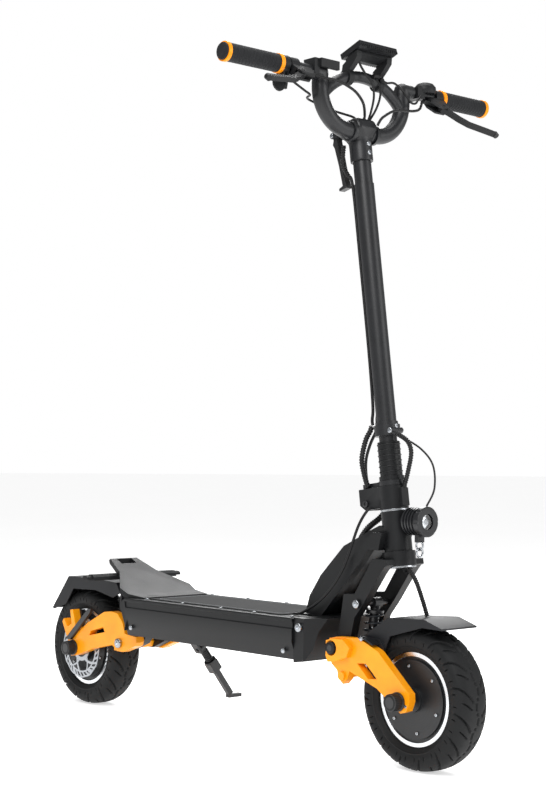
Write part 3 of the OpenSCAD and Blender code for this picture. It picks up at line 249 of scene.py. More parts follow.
def addPiece(name, points, faces, material):
    # a mesh object at the origin, with its place in its points
    mesh = bpy.data.meshes.new(name)
    mesh.from_pydata(np.asarray(points).tolist(), [], [list(map(int, f)) for f in faces])
    mesh.validate()
    piece = bpy.data.objects.new(name, mesh)
    bpy.context.scene.collection.objects.link(piece)
    mesh.materials.append(material)
    mesh.shade_smooth()
    return piece


def gridFaces(rows, columns, wrapRows=False, wrapColumns=False):
    # quads between neighbouring grid points, row by row
    i, j = np.meshgrid(np.arange(rows if wrapRows else rows - 1),
                       np.arange(columns if wrapColumns else columns - 1), indexing="ij")
    i, j = i.ravel(), j.ravel()
    nextI, nextJ = (i + 1) % rows, (j + 1) % columns
    return np.stack([i * columns + j, i * columns + nextJ, nextI * columns + nextJ, nextI * columns + j], 1)


def outward(piece):
    # merges doubles, then turns the faces of a closed shape outwards
    shape = bmesh.new()
    shape.from_mesh(piece.data)
    bmesh.ops.remove_doubles(shape, verts=shape.verts, dist=mergeDistance)
    bmesh.ops.recalc_face_normals(shape, faces=shape.faces)
    shape.to_mesh(piece.data)
    shape.free()
    return piece


def softened(name, material, width, segments=2, angle=32):
    # a copy of a CAD node with its doubles merged, its flats made whole and its edges rounded
    source = nodes[name].data
    count = len(source.vertices)
    points = np.empty(count * 3, np.float32)
    source.vertices.foreach_get("co", points)
    corners = np.empty(len(source.polygons) * 3, np.int32)
    source.polygons.foreach_get("vertices", corners)
    piece = addPiece(name + "Body", points.reshape(-1, 3), corners.reshape(-1, 3), material)
    shape = bmesh.new()
    shape.from_mesh(piece.data)
    bmesh.ops.remove_doubles(shape, verts=shape.verts, dist=4e-6)
    bmesh.ops.dissolve_degenerate(shape, edges=shape.edges, dist=2e-6)
    bmesh.ops.dissolve_limit(shape, angle_limit=math.radians(0.3), verts=shape.verts, edges=shape.edges)
    shape.to_mesh(piece.data)
    shape.free()
    piece.data.shade_smooth()
    piece.data.set_sharp_from_angle(angle=math.radians(angle))
    edge = piece.modifiers.new("roundedEdges", "BEVEL")
    edge.width = width * mm
    edge.segments = segments
    edge.limit_method = "ANGLE"
    edge.angle_limit = math.radians(angle)
    edge.use_clamp_overlap = True
    edge.harden_normals = True
    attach(piece, bodyOf[name])
    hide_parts(name)
    return piece


# Studio: camera, floor and light first.

camera = dict(place=(2.4420, -2.0946, 0.5600), heading=2.41361, pitch=0.033873, roll=0.006654, lensMm=71.53)
ahead = np.array([math.cos(camera["pitch"]) * math.cos(camera["heading"]),
                  math.cos(camera["pitch"]) * math.sin(camera["heading"]), math.sin(camera["pitch"])])
right = np.cross(ahead, [0, 0, 1])
right /= np.linalg.norm(right)
up = np.cross(right, ahead)
cosRoll, sinRoll = math.cos(camera["roll"]), math.sin(camera["roll"])
right, up = cosRoll * right + sinRoll * up, cosRoll * up - sinRoll * right
lens = bpy.data.cameras.new("camera")
lens.lens = camera["lensMm"]
lens.sensor_width = 36
lens.clip_end = 60
viewer = bpy.data.objects.new("camera", lens)
bpy.context.scene.collection.objects.link(viewer)
viewer.matrix_world = Matrix([[right[0], up[0], -ahead[0], camera["place"][0]],
                              [right[1], up[1], -ahead[1], camera["place"][1]],
                              [right[2], up[2], -ahead[2], camera["place"][2]], [0, 0, 0, 1]])
bpy.context.scene.camera = viewer

studio = dict(radius=40.0, glow=0.56, cameraSky=1.0, objectSky=0.42)
turns = np.linspace(0, 2 * np.pi, 97)[:-1]
floorR = np.array([0.001, 1.5, 3, 6, 12, studio["radius"]])
# a flat disc: rings of growing radius about the origin
disc = np.stack([floorR[:, None] * np.cos(turns), floorR[:, None] * np.sin(turns),
                 np.zeros((len(floorR), len(turns)))], -1).reshape(-1, 3)
# matt white paper, lit a little from within so that it stays pale far from the lamps
paper = makeFinish("studioPaper", dict(dark="#f4f4f4", light="#f8f8f8", rough=0.85, roughShift=0.05, patchMm=900,
                                       grainMm=60, bump=0.0, bumpMm=0.1, specular=0.1))
paperShader = paper.node_tree.nodes["Principled BSDF"]
paperShader.inputs["Emission Color"].default_value = (1, 1, 1, 1)
paperShader.inputs["Emission Strength"].default_value = studio["glow"]
floor = addPiece("studioFloor", disc, gridFaces(len(floorR), len(turns), wrapColumns=True), paper)

world = bpy.data.worlds.new("studioSky")
bpy.context.scene.world = world
world.use_nodes = True
sky = world.node_tree
sky.nodes["Background"].inputs["Color"].default_value = (1, 1, 1, 1)
ray = addNode(sky, "ShaderNodeLightPath")
strength = addNode(sky, "ShaderNodeMapRange", {"To Min": studio["objectSky"], "To Max": studio["cameraSky"]},
                   {"Value": ray.outputs["Is Camera Ray"]})
sky.links.new(strength.outputs[0], sky.nodes["Background"].inputs["Strength"])
bpy.context.scene.view_settings.view_transform = "Standard"

lightPlan = {
    # name: place, target, size, watts
    "keySoftbox": ((1.8, -2.6, 3.0), (0, 0, 0.5), 2.2, 95),
    "fillSoftbox": ((3.4, 1.6, 1.6), (0, 0, 0.6), 2.4, 36),
    "rimSoftbox": ((-2.2, 2.4, 2.6), (0, 0, 0.6), 2.0, 85),
    "topSoftbox": ((0.0, 0.2, 3.8), (0, 0, 0), 2.6, 62),
}
for name, (place, target, size, watts) in lightPlan.items():
    lamp = bpy.data.lights.new(name, "AREA")
    lamp.shape = "DISK"
    lamp.size = size
    lamp.energy = watts
    lampObject = bpy.data.objects.new(name, lamp)
    bpy.context.scene.collection.objects.link(lampObject)
    facing = np.array(target, float) - np.array(place)
    lampObject.location = place
    lampObject.rotation_euler = Vector(facing).to_track_quat("-Z", "Y").to_euler()
print("studio ready")


# Shapes worked out point by point, in millimetres.

def unit(v):
    return v / np.linalg.norm(v, axis=-1, keepdims=True)


def smoothRoute(route, perSpan=10):
    # a Catmull-Rom curve: each span is a cubic that leaves and meets its ends along the neighbours' chord
    route = np.asarray(route, float)
    before = np.vstack([route[:1], route[:-2]])
    after = np.vstack([route[2:], route[-1:]])
    a, b, c, d = before, route[:-1], route[1:], after
    t = np.linspace(0, 1, perSpan, endpoint=False)[None, :, None]
    a, b, c, d = (x[:, None] for x in (a, b, c, d))
    spans = 0.5 * (2 * b + (c - a) * t + (2 * a - 5 * b + 4 * c - d) * t ** 2
                   + (3 * b - a - 3 * c + d) * t ** 3)
    return np.vstack([spans.reshape(-1, route.shape[1]), route[-1:]])


def swept(centres, side, up, section):
    # point = centre + section across * side + section up * up, with a fan of triangles over each end
    section = np.asarray(section, float)
    if section.ndim == 2:
        section = np.broadcast_to(section, (len(centres),) + section.shape)
    points = centres[:, None] + section[..., 0, None] * side[:, None] + section[..., 1, None] * up[:, None]
    n, m = points.shape[:2]
    k = np.arange(m)
    first = np.stack([np.full(m, n * m), (k + 1) % m, k], 1)
    last = np.stack([np.full(m, n * m + 1), (n - 1) * m + k, (n - 1) * m + (k + 1) % m], 1)
    points = np.vstack([points.reshape(-1, 3), centres[:1], centres[-1:]])
    return points, gridFaces(n, m, wrapColumns=True).tolist() + first.tolist() + last.tolist()


def joined(parts):
    # one list of points and faces out of several
    points, faces, start = [], [], 0
    for partPoints, partFaces in parts:
        points.append(np.asarray(partPoints, float))
        faces += [[start + i for i in face] for face in partFaces]
        start += len(partPoints)
    return np.vstack(points), faces


def circleSection(radius, count=12):
    angles = np.linspace(0, 2 * np.pi, count, endpoint=False)
    return np.stack([radius * np.cos(angles), radius * np.sin(angles)], -1)


def tube(route, radius, perSpan=10, count=12, wrap=None, reference=(0, 1, 0.2)):
    # a round section along a smooth route; a wrap is (pitch, height, turns round per pitch)
    centres = smoothRoute(route, perSpan)
    along = unit(np.gradient(centres, axis=0))
    side = unit(np.cross(along, reference))
    section = circleSection(radius, count)
    if wrap:
        pitch, height, winding = wrap
        walked = np.concatenate([[0], np.cumsum(np.linalg.norm(np.diff(centres, axis=0), axis=1))])
        angles = np.linspace(0, 2 * np.pi, count, endpoint=False)
        phase = 2 * np.pi * walked[:, None] / pitch - winding * angles
        swell = radius + height * (0.5 + 0.5 * np.cos(phase)) ** 0.6
        section = np.stack([swell * np.cos(angles), swell * np.sin(angles)], -1)
    return swept(centres, side, np.cross(along, side), section)


def acrossAxis(axis):
    # two unit vectors square to the axis, and the axis
    axis = unit(np.array(axis, float))
    side = unit(np.cross(axis, [0, 0, 1] if abs(axis[2]) < 0.9 else [1, 0, 0]))
    return side, np.cross(axis, side), axis


def turned(profile, place, axis, count=48, wave=None):
    # a profile of (radius, height) carried round an axis; wave(angle) multiplies the radius
    side, other, axis = acrossAxis(axis)
    profile = np.asarray(profile, float)
    angles = np.linspace(0, 2 * np.pi, count, endpoint=False)
    radius = profile[:, :1] * (np.ones(count) if wave is None else wave(angles))
    points = (np.asarray(place, float) + radius[..., None] * (np.cos(angles)[:, None] * side
              + np.sin(angles)[:, None] * other) + profile[:, 1, None, None] * axis)
    return points.reshape(-1, 3), gridFaces(len(profile), count, wrapColumns=True).tolist()


def hexagon(angles):
    # distance from the centre to the side of a hexagon, as a share of its corner radius
    return np.cos(np.pi / 6) / np.cos((angles % (np.pi / 3)) - np.pi / 6)


def capScrew(place, axis, radius, height, socket):
    # a low domed head with a hexagon socket: the head and the pit share their rim ring
    head = turned([(socket, height * 0.97), (radius * 0.72, height), (radius * 0.92, height * 0.8),
                   (radius, height * 0.45), (radius, -0.4), (0, -0.4)], place, axis, 36)
    pit = turned([(0, height * 0.2), (socket, height * 0.2), (socket, height * 0.97)], place, axis, 36,
                 wave=hexagon)
    headPoints, pitPoints = np.array(head[0]), np.array(pit[0])
    headPoints[:36] = pitPoints[-36:]
    return joined([(headPoints, head[1]), (pitPoints, pit[1])])


def settle(piece, body, slot, *replaced):
    # closes and turns the mesh, then gives it its body and hides the CAD nodes it replaces; slot is not used
    outward(piece)
    piece.data.set_sharp_from_angle(angle=sharpAngle)
    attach(piece, body)
    if replaced:
        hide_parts(*replaced)
    return piece


def addShape(name, parts, look, body, slot, *replaced, blend=None):
    # several swept or turned parts in millimetres become one piece in metres
    points, faces = joined(parts)
    piece = addPiece(name, points * mm, faces, finish[look])
    if blend is None:
        return settle(piece, body, slot, *replaced)
    outward(piece)
    piece.data.set_sharp_from_angle(angle=sharpAngle)
    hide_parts(*replaced)
    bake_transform(piece)
    return piece


rake = math.radians(7.8)
crown = (441.0, 358.0)
barCentre = np.array([338.87, 0, 1258.41])
yokeStart = 760.1


def stemPoint(u, y, s):
    # the stem's own frame: u forward across it, s up along it, from the underside of the crown
    return [crown[0] + u * math.cos(rake) - s * math.sin(rake), y,
            crown[1] + u * math.sin(rake) + s * math.cos(rake)]


stemAxis = (-math.sin(rake), 0, math.cos(rake))


def stemRoute(route):
    return [stemPoint(*p) for p in route]


def barRoute(route):
    return [list(barCentre + np.array(p)) for p in route]


# Tyres: a rounded section with sickle grooves that sweep from the sidewall to the middle.

tyreShape = dict(pitches=15, depth=3.2, rings=960, centreWave=3.2, centreWidth=3.0, shoulder=96, edge=1.6,
                 fade=0.06, ridgeRadius=94, ridgeHeight=0.7, reach=54, flat=6)
tyreGrooves = (
    # each in shares: shift round, start and stop inward; then width in mm, and sweep round
    (0, 0.06, 0.93, 4.6, 0.75), (0.5, 0.42, 0.86, 2.6, 0.5), (0.26, 0.0, 0.2, 2.2, 0.2), (0.74, 0.0, 0.2, 2.2, 0.2))
tyreSection = [(81, 20.5), (84.2, 21), (84.6, 27.6), (90, 31.2), (93.5, 33.4), (95, 33.6), (101, 35.2),
               (108, 35.8), (114.5, 34.2), (119.8, 30.4), (123.6, 25), (126, 18.4), (127.2, 9.5), (127.45, 0)]


def makeTyre(name, x, body, node):
    # the groove's line is a parabola on the unrolled tread: round = sweep * pitch * inward squared
    half = np.array(tyreSection, float)
    outline = smoothRoute(np.vstack([half * [1, -1], half[::-1][1:]]), 3)
    r, y = outline[:, 0], outline[:, 1]
    slope = unit(np.gradient(outline, axis=0))
    normal = np.stack([slope[:, 1], -slope[:, 0]], -1)  # points out of the section
    turn = np.linspace(0, 2 * np.pi, tyreShape["rings"], endpoint=False)
    pitch = 2 * np.pi * axleHeight / tyreShape["pitches"]
    arc = turn[:, None] * axleHeight
    along = np.concatenate([[0], np.cumsum(np.linalg.norm(np.diff(outline, axis=0), axis=1))])
    fromCrown = np.abs(along - along[-1] / 2)
    grooved = tyreShape["reach"] - tyreShape["flat"]  # mm along the section that the grooves may cross
    inward = np.clip((tyreShape["reach"] - fromCrown) / grooved, 0, 1)
    onTread = (r > tyreShape["shoulder"]).astype(float)
    offset = np.where(y > 0, 0.5 * pitch, 0)
    depth = np.zeros((len(turn), len(y)))
    edge, fade = tyreShape["edge"], tyreShape["fade"]
    for shift, start, stop, width, sweep in tyreGrooves:
        line = sweep * pitch * inward ** 2 + offset + shift * pitch
        gapRound = (arc - line + pitch / 2) % pitch - pitch / 2
        steep = sweep * pitch * 2 * inward / grooved
        away = np.abs(gapRound) / np.sqrt(1 + steep ** 2)
        ends = np.clip((inward - start) / fade, 0, 1) * np.clip((stop - inward) / fade, 0, 1)
        depth = np.maximum(depth, ends * np.clip(edge * (1 - away / (width / 2)), 0, 1))
    middle = tyreShape["centreWave"] * np.sin(arc / pitch * 2 * np.pi)
    centreCut = np.clip(edge * (1 - np.abs(y - middle) / (tyreShape["centreWidth"] / 2)), 0, 1)
    depth = np.maximum(depth, centreCut * (np.abs(y) < 8))
    cut = depth * tyreShape["depth"] * onTread
    # the raised line that guards the rim
    ridge = tyreShape["ridgeHeight"] * np.exp(-(r - tyreShape["ridgeRadius"]) ** 2) * (r > 88)
    rr = r + (ridge - cut) * normal[:, 0]
    yy = y + (ridge - cut) * normal[:, 1]
    points = np.stack([x + rr * np.sin(turn)[:, None], yy, axleHeight + rr * np.cos(turn)[:, None]], -1)
    n, m = points.shape[:2]
    piece = addPiece(name, points.reshape(-1, 3) * mm, gridFaces(n, m, wrapRows=True, wrapColumns=True),
                     finish["tyreRubber"])
    return settle(piece, body, "tyre", node)


makeTyre("frontTyre", 500, "front_wheel", "front_tyre")
makeTyre("rearTyre", -500, "rear_wheel", "rear_tyre")
print("tyres ready")


# Wheels: brake rotors, hub screws and axle caps.

rotorShape = dict(inner=22.6, half=1.0, arms=6, slots=30)


def ring(r0, r1, place, half, wave=None, count=240):
    # a flat ring: a rectangle carried round the axle
    return turned([(r0, -half), (r1, -half), (r1, half), (r0, half), (r0, -half)], place, (0, 1, 0), count, wave)


def flatBar(place, r0, r1, a0, a1, width, half, steps=9):
    # a bar in the rotor's plane whose middle line turns evenly from angle a0 to a1
    t = np.linspace(0, 1, steps)
    radius, angle = r0 + (r1 - r0) * t, a0 + (a1 - a0) * t
    centres = np.asarray(place) + np.stack([radius * np.cos(angle), 0 * t, radius * np.sin(angle)], -1)
    along = unit(np.gradient(centres, axis=0))
    across = np.cross(along, [0, 1, 0])
    up = np.broadcast_to([0.0, 1.0, 0.0], across.shape)
    corner = np.array([(-1, -1), (1, -1), (1, 1), (-1, 1)]) * [width / 2, half]
    return swept(centres, across, up, corner)


def makeRotor(name, x, y, body, node, look):
    place, h = (x, y, axleHeight), rotorShape["half"]
    parts = [ring(rotorShape["inner"], 31, place, h), ring(53, 56.6, place, h),
             ring(64.6, 68.2, place, h, wave=lambda a: 1 + 0.011 * np.cos(rotorShape["arms"] * 2 * a))]
    for k in range(rotorShape["slots"]):
        a = 2 * np.pi * k / rotorShape["slots"]
        parts.append(flatBar(place, 55, 66, a, a + 0.16, 4.4 if k % 5 else 9.0, h * 0.94))
    for k in range(rotorShape["arms"]):
        a = 2 * np.pi * k / rotorShape["arms"]
        parts.append(flatBar(place, 29, 54.5, a, a + 0.42, 5.4, h * 0.9))
        parts.append(flatBar(place, 29, 54.5, a + 0.30, a - 0.1, 3.8, h * 0.88))
    return addShape(name, parts, look, body, "disc_steel", node)


makeRotor("frontRotor", 500, 40, "front_wheel", "front_disc", "groundDiscSteelFront")
makeRotor("rearRotor", -500, -40, "rear_wheel", "rear_disc", "groundDiscSteelRear")
# the covers' bosses stand 28.2 mm from the middle of the wheel
hubScrews = dict(circle=59, out=28.0, first=20)
for place, x, body in (("front", 500, "front_wheel"), ("rear", -500, "rear_wheel")):
    screws = []
    for side in (-1, 1):
        for k in range(6):
            a = math.radians(hubScrews["first"] + 60 * k)
            spot = (x + hubScrews["circle"] * math.cos(a), side * hubScrews["out"],
                    axleHeight - hubScrews["circle"] * math.sin(a))
            screws.append(capScrew(spot, (0, side, 0), 3.3, 1.6, 1.5))
    addShape(place + "HubScrews", screws, "chromePlate", body, "bright_bolts")


def flutedCap(place, side, radius, length, flutes=28):
    # a moulded cap: a rounded drum whose side has shallow flutes
    profile = [(0, 0), (radius, 0), (radius, 2), (radius, length - 2.5), (radius - 0.7, length - 0.9),
               (radius - 2.2, length), (radius - 5, length), (radius - 5.6, length - 0.7), (0, length - 0.7)]
    return turned(profile, place, (0, side, 0), 168, lambda a: 1 + 0.016 * np.cos(flutes * a))


for place, x, reach, body in (("front", 500, 66, "front_swing_arm"), ("rear", -500, 62, "rear_swing_arm")):
    caps = [flutedCap((x, side * (reach + 4.5), axleHeight), side, 15.2, 17.9) for side in (-1, 1)]
    addShape(place + "AxleCaps", caps, "mouldedBlackAbs", body, "control_plastic")
knobs = [flutedCap((340, side * 70, 207), side, 11.2, 10.6, 22) for side in (-1, 1)]
addShape("pivotCaps", knobs, "mouldedBlackAbs", "steering", "control_plastic")
print("wheels ready")


# Shocks: fine springs in place of the coarse ones.

springEye, springSeat = 17.4, 17.2  # from the eye to the coil's seat at each end


def springParts(eyeA, eyeB, seat, turns, coil=15.0, wire=2.0):
    # a helix about the line between the eyes, with its first and last turn lying almost flat
    start, end = np.array([eyeA[0], 0, eyeA[1]], float), np.array([eyeB[0], 0, eyeB[1]], float)
    length = np.linalg.norm(end - start) - seat - springEye
    side, other, axis = acrossAxis(end - start)
    t = np.linspace(0, 1, 56 * turns)
    ease = np.clip((t * turns - 0.6) / (turns - 1.2), 0, 1)
    height = springSeat + wire + (length - 2 * wire) * ease
    a = 2 * np.pi * turns * t
    centres = start + coil * (np.cos(a)[:, None] * side + np.sin(a)[:, None] * other) + height[:, None] * axis
    along = unit(np.gradient(centres, axis=0))
    radial = unit(centres - start - height[:, None] * axis)
    return swept(centres, radial, np.cross(along, radial), circleSection(wire, 12))


addShape("frontSpring", [springParts((380, 288), (361, 158), 33, 7)], "coatedSpringWire", "front_damper",
         "spring_steel", "front_shock_spring")
addShape("rearSpring", [springParts((-288, 232), (-372, 203), 21, 5)], "coatedSpringWire", "rear_damper",
         "spring_steel", "rear_shock_spring")
print("springs ready")


# Grips: rubber sleeves with wavy ribs.

gripShape = dict(inner=210.0, outer=340.0, radius=16.2, rib=0.75, pitch=7.5, wave=0.9)


def gripParts(side):
    # radius = base + rib * soft square of (along / pitch + a wave that runs three times round)
    y = np.linspace(gripShape["inner"] + 7.5, gripShape["outer"] - 5.5, 230)
    a = np.linspace(0, 2 * np.pi, 72, endpoint=False)
    wavePhase = 2 * np.pi * y[:, None] / gripShape["pitch"] + gripShape["wave"] * 2 * np.sin(3 * a)
    ribs = np.tanh(2.2 * np.sin(wavePhase)) * 0.5 + 0.5
    fade = np.clip((y - y[0] - 9) / 3, 0, 1) * np.clip((y[-1] - 9 - y) / 3, 0, 1)
    radius = gripShape["radius"] - 0.35 + gripShape["rib"] * (1 - (1 - ribs) * fade[:, None])
    section = np.stack([radius * np.cos(a), radius * np.sin(a)], -1)
    centres = np.stack([0 * y + barCentre[0], side * y, 0 * y + barCentre[2]], -1)
    alongX = np.broadcast_to([1.0, 0, 0], centres.shape)
    alongZ = np.broadcast_to([0, 0, 1.0], centres.shape)
    return swept(centres, alongX, alongZ, section)


endCaps = [turned([(0, 0), (15.4, 0), (15.4, 3.4), (14.6, 4.6), (12.6, 5.0), (11.4, 5.0), (11, 4.5), (0, 4.5)],
                  (barCentre[0], side * 340.0, barCentre[2]), (0, side, 0), 64) for side in (-1, 1)]
addShape("gripSleeves", [gripParts(-1), gripParts(1)] + endCaps, "gripRubber", "stem", "grip_rubber", "grips")
print("grips ready")


# Cables, each along the route of its CAD solid.

fineCables = {
    # name: (route in the handlebar's frame, radius)
    "throttleLead": ([[4, -194.8, -20.5], [9, -184, -30], [12, -160, -42], [2, -137, -45], [-16, -127, -46],
                      [-25, -106, -48], [-22, -56, -58], [-10, -16, -66], [-8, -9, -72.4]], 2.2),
    "rightBrakeCable": ([[16, -137.6, -12], [17, -132, -12], [24, -116, -15], [30, -95, -17], [33, -70, -24],
                         [30, -45, -32], [22, -20, -46], [9, -3, -62], [5, -1, -72.6]], 2.6),
    "leftBrakeCable": ([[13, 153.4, -15], [14, 148, -17], [23, 132, -34], [29, 107, -43], [29, 60, -49],
                        [27, 29, -65], [24, 19, -78], [22.5, 18, -83]], 2.6),
    "displayLead": ([[18, -28, 37], [17, -23, 26], [20, -9, 7], [23, 3, -8], [19, 11, -29], [9, 14, -54],
                     [0, 14, -72.6]], 2.2),
    "plugLead": ([[16, 20, 6], [20, 27, -8], [17, 29, -28], [9, 26, -50], [-6, 21, -72.4]], 2.2),
    "switchLead": ([[17, 31, 8], [21.5, 42, 2], [23, 62, 4], [25, 84, -8], [27, 102, -26], [25, 118, -26],
                    [21, 130, -16], [20, 138, -8]], 2.2),
}
plug = [turned([(0, 0), (3.6, 0), (4.5, 1.2), (4.5, 7), (3.9, 7.6), (3.9, 8.8), (4.5, 9.4), (4.5, 17), (3.4, 19),
                (0, 19)], barCentre + np.array([14.5, 14, 12.6]), (0, 1, 0), 40)]
fineTubes = [tube(barRoute(route), radius, 12) for route, radius in fineCables.values()]
# spiral wrap where the looms run down beside the yoke
wrapRight = [[-12, -31.6, 788], [-17, -31.6, 770], [-24, -26, 752], [-26, -13, 735]]
wrapLeft = [[-12, 31.6, 788], [-17, 31.6, 770], [-24, 26, 752], [-26, 13, 735]]
downRight = [[-26, -13, 735], [-21.4, -8.5, 712], [-20.6, -8, 560], [-20.4, -8, 400], [-22, -9, 300],
             [-26.6, -9.5, 272], [-26.6, -9.5, 262]]
downLeft = [[-26, 13, 735], [-22, 3, 712], [-21.5, 2, 560], [-21.5, 2, 400], [-23, 3, 300], [-27.8, 4, 272],
            [-27.8, 4, 262]]
loomWrap = (4.6, 1.2, 1)
looms = [tube(stemRoute(route), 3.4, 60, 20, loomWrap, (0, 1, 0)) for route in (wrapRight, wrapLeft)]
looms += [tube(stemRoute(route), 3, 16, 12, None, (0, 1, 0)) for route in (downRight, downLeft)]
addShape("barCables", fineTubes + plug + looms, "cableVinyl", "stem", "cable_jacket", "stem_cables")

hingeLoops = [tube(stemRoute([[-28.6, -10, 260.4], [-34, -10, 252], [-46, -12, 236], [-58, -14, 204],
                              [-56, -14, 176], [-46, -17, 148]]), 3.9, 80, 20, (5.0, 1.3, 1)),
              tube(stemRoute([[-28.5, 4, 260.3], [-34, 4, 250], [-52, 4, 228], [-68, 6, 200], [-74, 10, 165],
                              [-69.3, 14, 130]]), 2.9, 14),
              tube(stemRoute([[26.5, 0, 237.6], [48, 0, 222], [54, 0, 200], [42, 0, 168], [29.7, 0, 143.4]]),
                   3.4, 90, 20, (4.6, 1.1, 1)),
              tube(stemRoute([[21.5, 9, 236.2], [70, 8, 206], [98, 6, 172], [96, 6, 130], [74.4, 5, 101.2]]), 1.8, 16)]
addShape("hingeCables", hingeLoops, "cableVinyl", "steering", "cable_jacket", "hinge_cables",
         blend=("steering", "stem", stemPoint(0, 0, 140), stemPoint(0, 0, 240)))

neckTubes = [tube([[386, -25, 462], [374, -40, 430], [344, -50, 350], [300, -56, 296], [248, -60, 264],
                   [222, -60, 259]], 2.6, 14),
             tube([[387.6, 16.9, 455.4], [378, 10, 442], [356, 3, 424], [340, 0, 404]], 4.6, 90, 24, (4.4, 1.5, 0))]
addShape("neckCables", neckTubes, "cableVinyl", "frame", "cable_jacket", "neck_cables",
         blend=("frame", "steering", (300, -40, 300), (386, 0, 460)))
forkTube = [tube([[461, 0, 355.8], [480, 0, 334], [496, 0, 302], [508, 0, 273]], 3.3, 110, 20, (4.2, 1.1, 0))]
addShape("forkCable", forkTube, "cableVinyl", "steering", "cable_jacket", "fork_cable",
         blend=("steering", "front_swing_arm", (461, 0, 352), (508, 0, 276)))
print("cables ready")


# Headlamp: a bright bowl behind a clear lens, and a notched ring round it.

lampCentre = np.array(stemPoint(34, 0, 99.5 - 21))
lampFace = [(21.8, 36.2), (21.8, 37.4), (17, 36.9), (12.5, 36.8), (9, 37.2), (6.5, 38.4), (5, 38.6), (0, 38.6)]
bowl = [(0, 35.6), (21.8, 35.6)] + lampFace
addShape("lampReflector", [turned(bowl, lampCentre, (1, 0, 0), 72)], "lampChrome", "frame", "lamp_lens",
         "headlamp_lens")
lensDome = [(0, 39.6), (21.9, 39.6), (21.9, 40.6), (19, 41.6), (14, 42.6), (8, 43.2), (0, 43.4)]
addShape("lampLens", [turned(lensDome, lampCentre, (1, 0, 0), 72)], "clearPolycarbonate", "frame", "lamp_lens")
bezel = [(22.1, 35), (22.1, 43.6), (14.2, 43.9), (14.2, 44.7), (22.6, 45.4), (26.3, 45.2), (27.4, 44.0), (27.4, 35),
         (22.1, 35)]
addShape("lampRing", [turned(bezel, lampCentre, (1, 0, 0), 192,
                             lambda a: 1 - 0.045 * np.clip(6 * np.cos(8 * a) - 5, 0, 1))],
         "anodisedBlack", "frame", "lamp_body")


def linkRing(place, axis, radius, wire=1.9):
    side, other, axis = acrossAxis(axis)
    a = np.linspace(0, 2 * np.pi, 49)
    centres = np.asarray(place) + radius * (np.cos(a)[:, None] * side + np.sin(a)[:, None] * other)
    radial = np.cos(a)[:, None] * side + np.sin(a)[:, None] * other
    up = np.broadcast_to(axis, radial.shape)
    return swept(centres, radial, up, circleSection(wire, 12))


def lampPoint(down, y, out):
    return lampCentre + np.array([out, y, -down])


shackle = [linkRing(lampPoint(43, 0, 25), (0, 1, 0), 8), linkRing(lampPoint(55.2, 0, 25), (1, 0, 0), 8)]
addShape("lampShackle", shackle, "chromePlate", "frame", "bright_bolts")
print("headlamp ready")


# Screws on the frame, the fork and the stem.

def screwSet(name, body, spots, look="chromePlate", slot="bright_bolts"):
    addShape(name, [capScrew(*spot) for spot in spots], look, body, slot)


both = (-1, 1)
screwSet("neckScrews", "frame", [((277, 98.8 * q, 240), (0, q, 0), 8.2, 3.0, 3.6) for q in both])
screwSet("deckSideScrews", "frame", [((x, 99.4 * q, z), (0, q, 0), 5.0, 1.8, 2.2)
                                     for q in both for x, z in ((-238, 196), (236, 194))])
screwSet("lidScrews", "frame", [((x, q * 87.7, 257.9), (0, 0, 1), 3.6, 1.3, 1.6) for q in both
                                for x in (-198, -80, 40, 140, 248)])
screwSet("rearPivotScrews", "frame", [((-327, q * 66.8, 153), (0, q, 0), 10.2, 3.0, 4.6) for q in both])
screwSet("forkPinScrews", "steering", [((380, q * 51.8, 288), (0, q, 0), 8.0, 3.0, 3.6) for q in both])
screwSet("crownScrews", "steering", [(stemPoint(-12, -29, 13), (-0.35, -0.94, 0), 3.4, 1.4, 1.6),
                                     (stemPoint(-12, 29, 13), (-0.35, 0.94, 0), 3.4, 1.4, 1.6)])
screwSet("foldPinScrews", "steering", [(stemPoint(-50, q * 23.8, 118.5), (0, q, 0), 6.4, 2.2, 2.9) for q in both],
         "blackOxideSteel", "dark_bolts")
collarAxis = np.array([math.cos(rake), 0, math.sin(rake)])
screwSet("collarScrews", "stem", [(stemPoint(20, -14.8, 246.1), (0, -1, 0), 5.6, 2.4, 2.6),
                                  (stemPoint(20, 14.8, 246.1), (0, 1, 0), 5.6, 2.4, 2.6),
                                  (stemPoint(23.5, 0, 254), collarAxis, 4.2, 2.0, 1.9)])
screwSet("fenderScrews", "front_swing_arm", [((410, q * 67.9, 229), (0, q, 0), 4.2, 1.6, 1.9) for q in both])
screwSet("axleClampScrews", "front_swing_arm", [((518, q * 66.0, 121), (0, q, 0), 3.0, 1.2, 1.4) for q in both])
print("screws ready")


# Yoke: a round socket that squares off into the block that holds the risers.

yokeRows = [
    # along the stem, forward shift, half depth, half width, squareness
    (-3, 0, 18, 18, 2), (-2.4, 0, 20.4, 20.4, 2), (0, 0, 21.4, 21.4, 2), (30, 0, 21.6, 21.6, 2),
    (38, -1, 23, 22.6, 2.4), (44, -2, 26, 24.2, 3), (50, -4, 30, 25.4, 4), (57, -6, 33.5, 26, 6),
    (66, -8, 33.5, 26, 7), (72, -9, 31.5, 25.4, 7), (75, -9, 28.5, 23.4, 7), (76, -9, 26, 21, 7)]


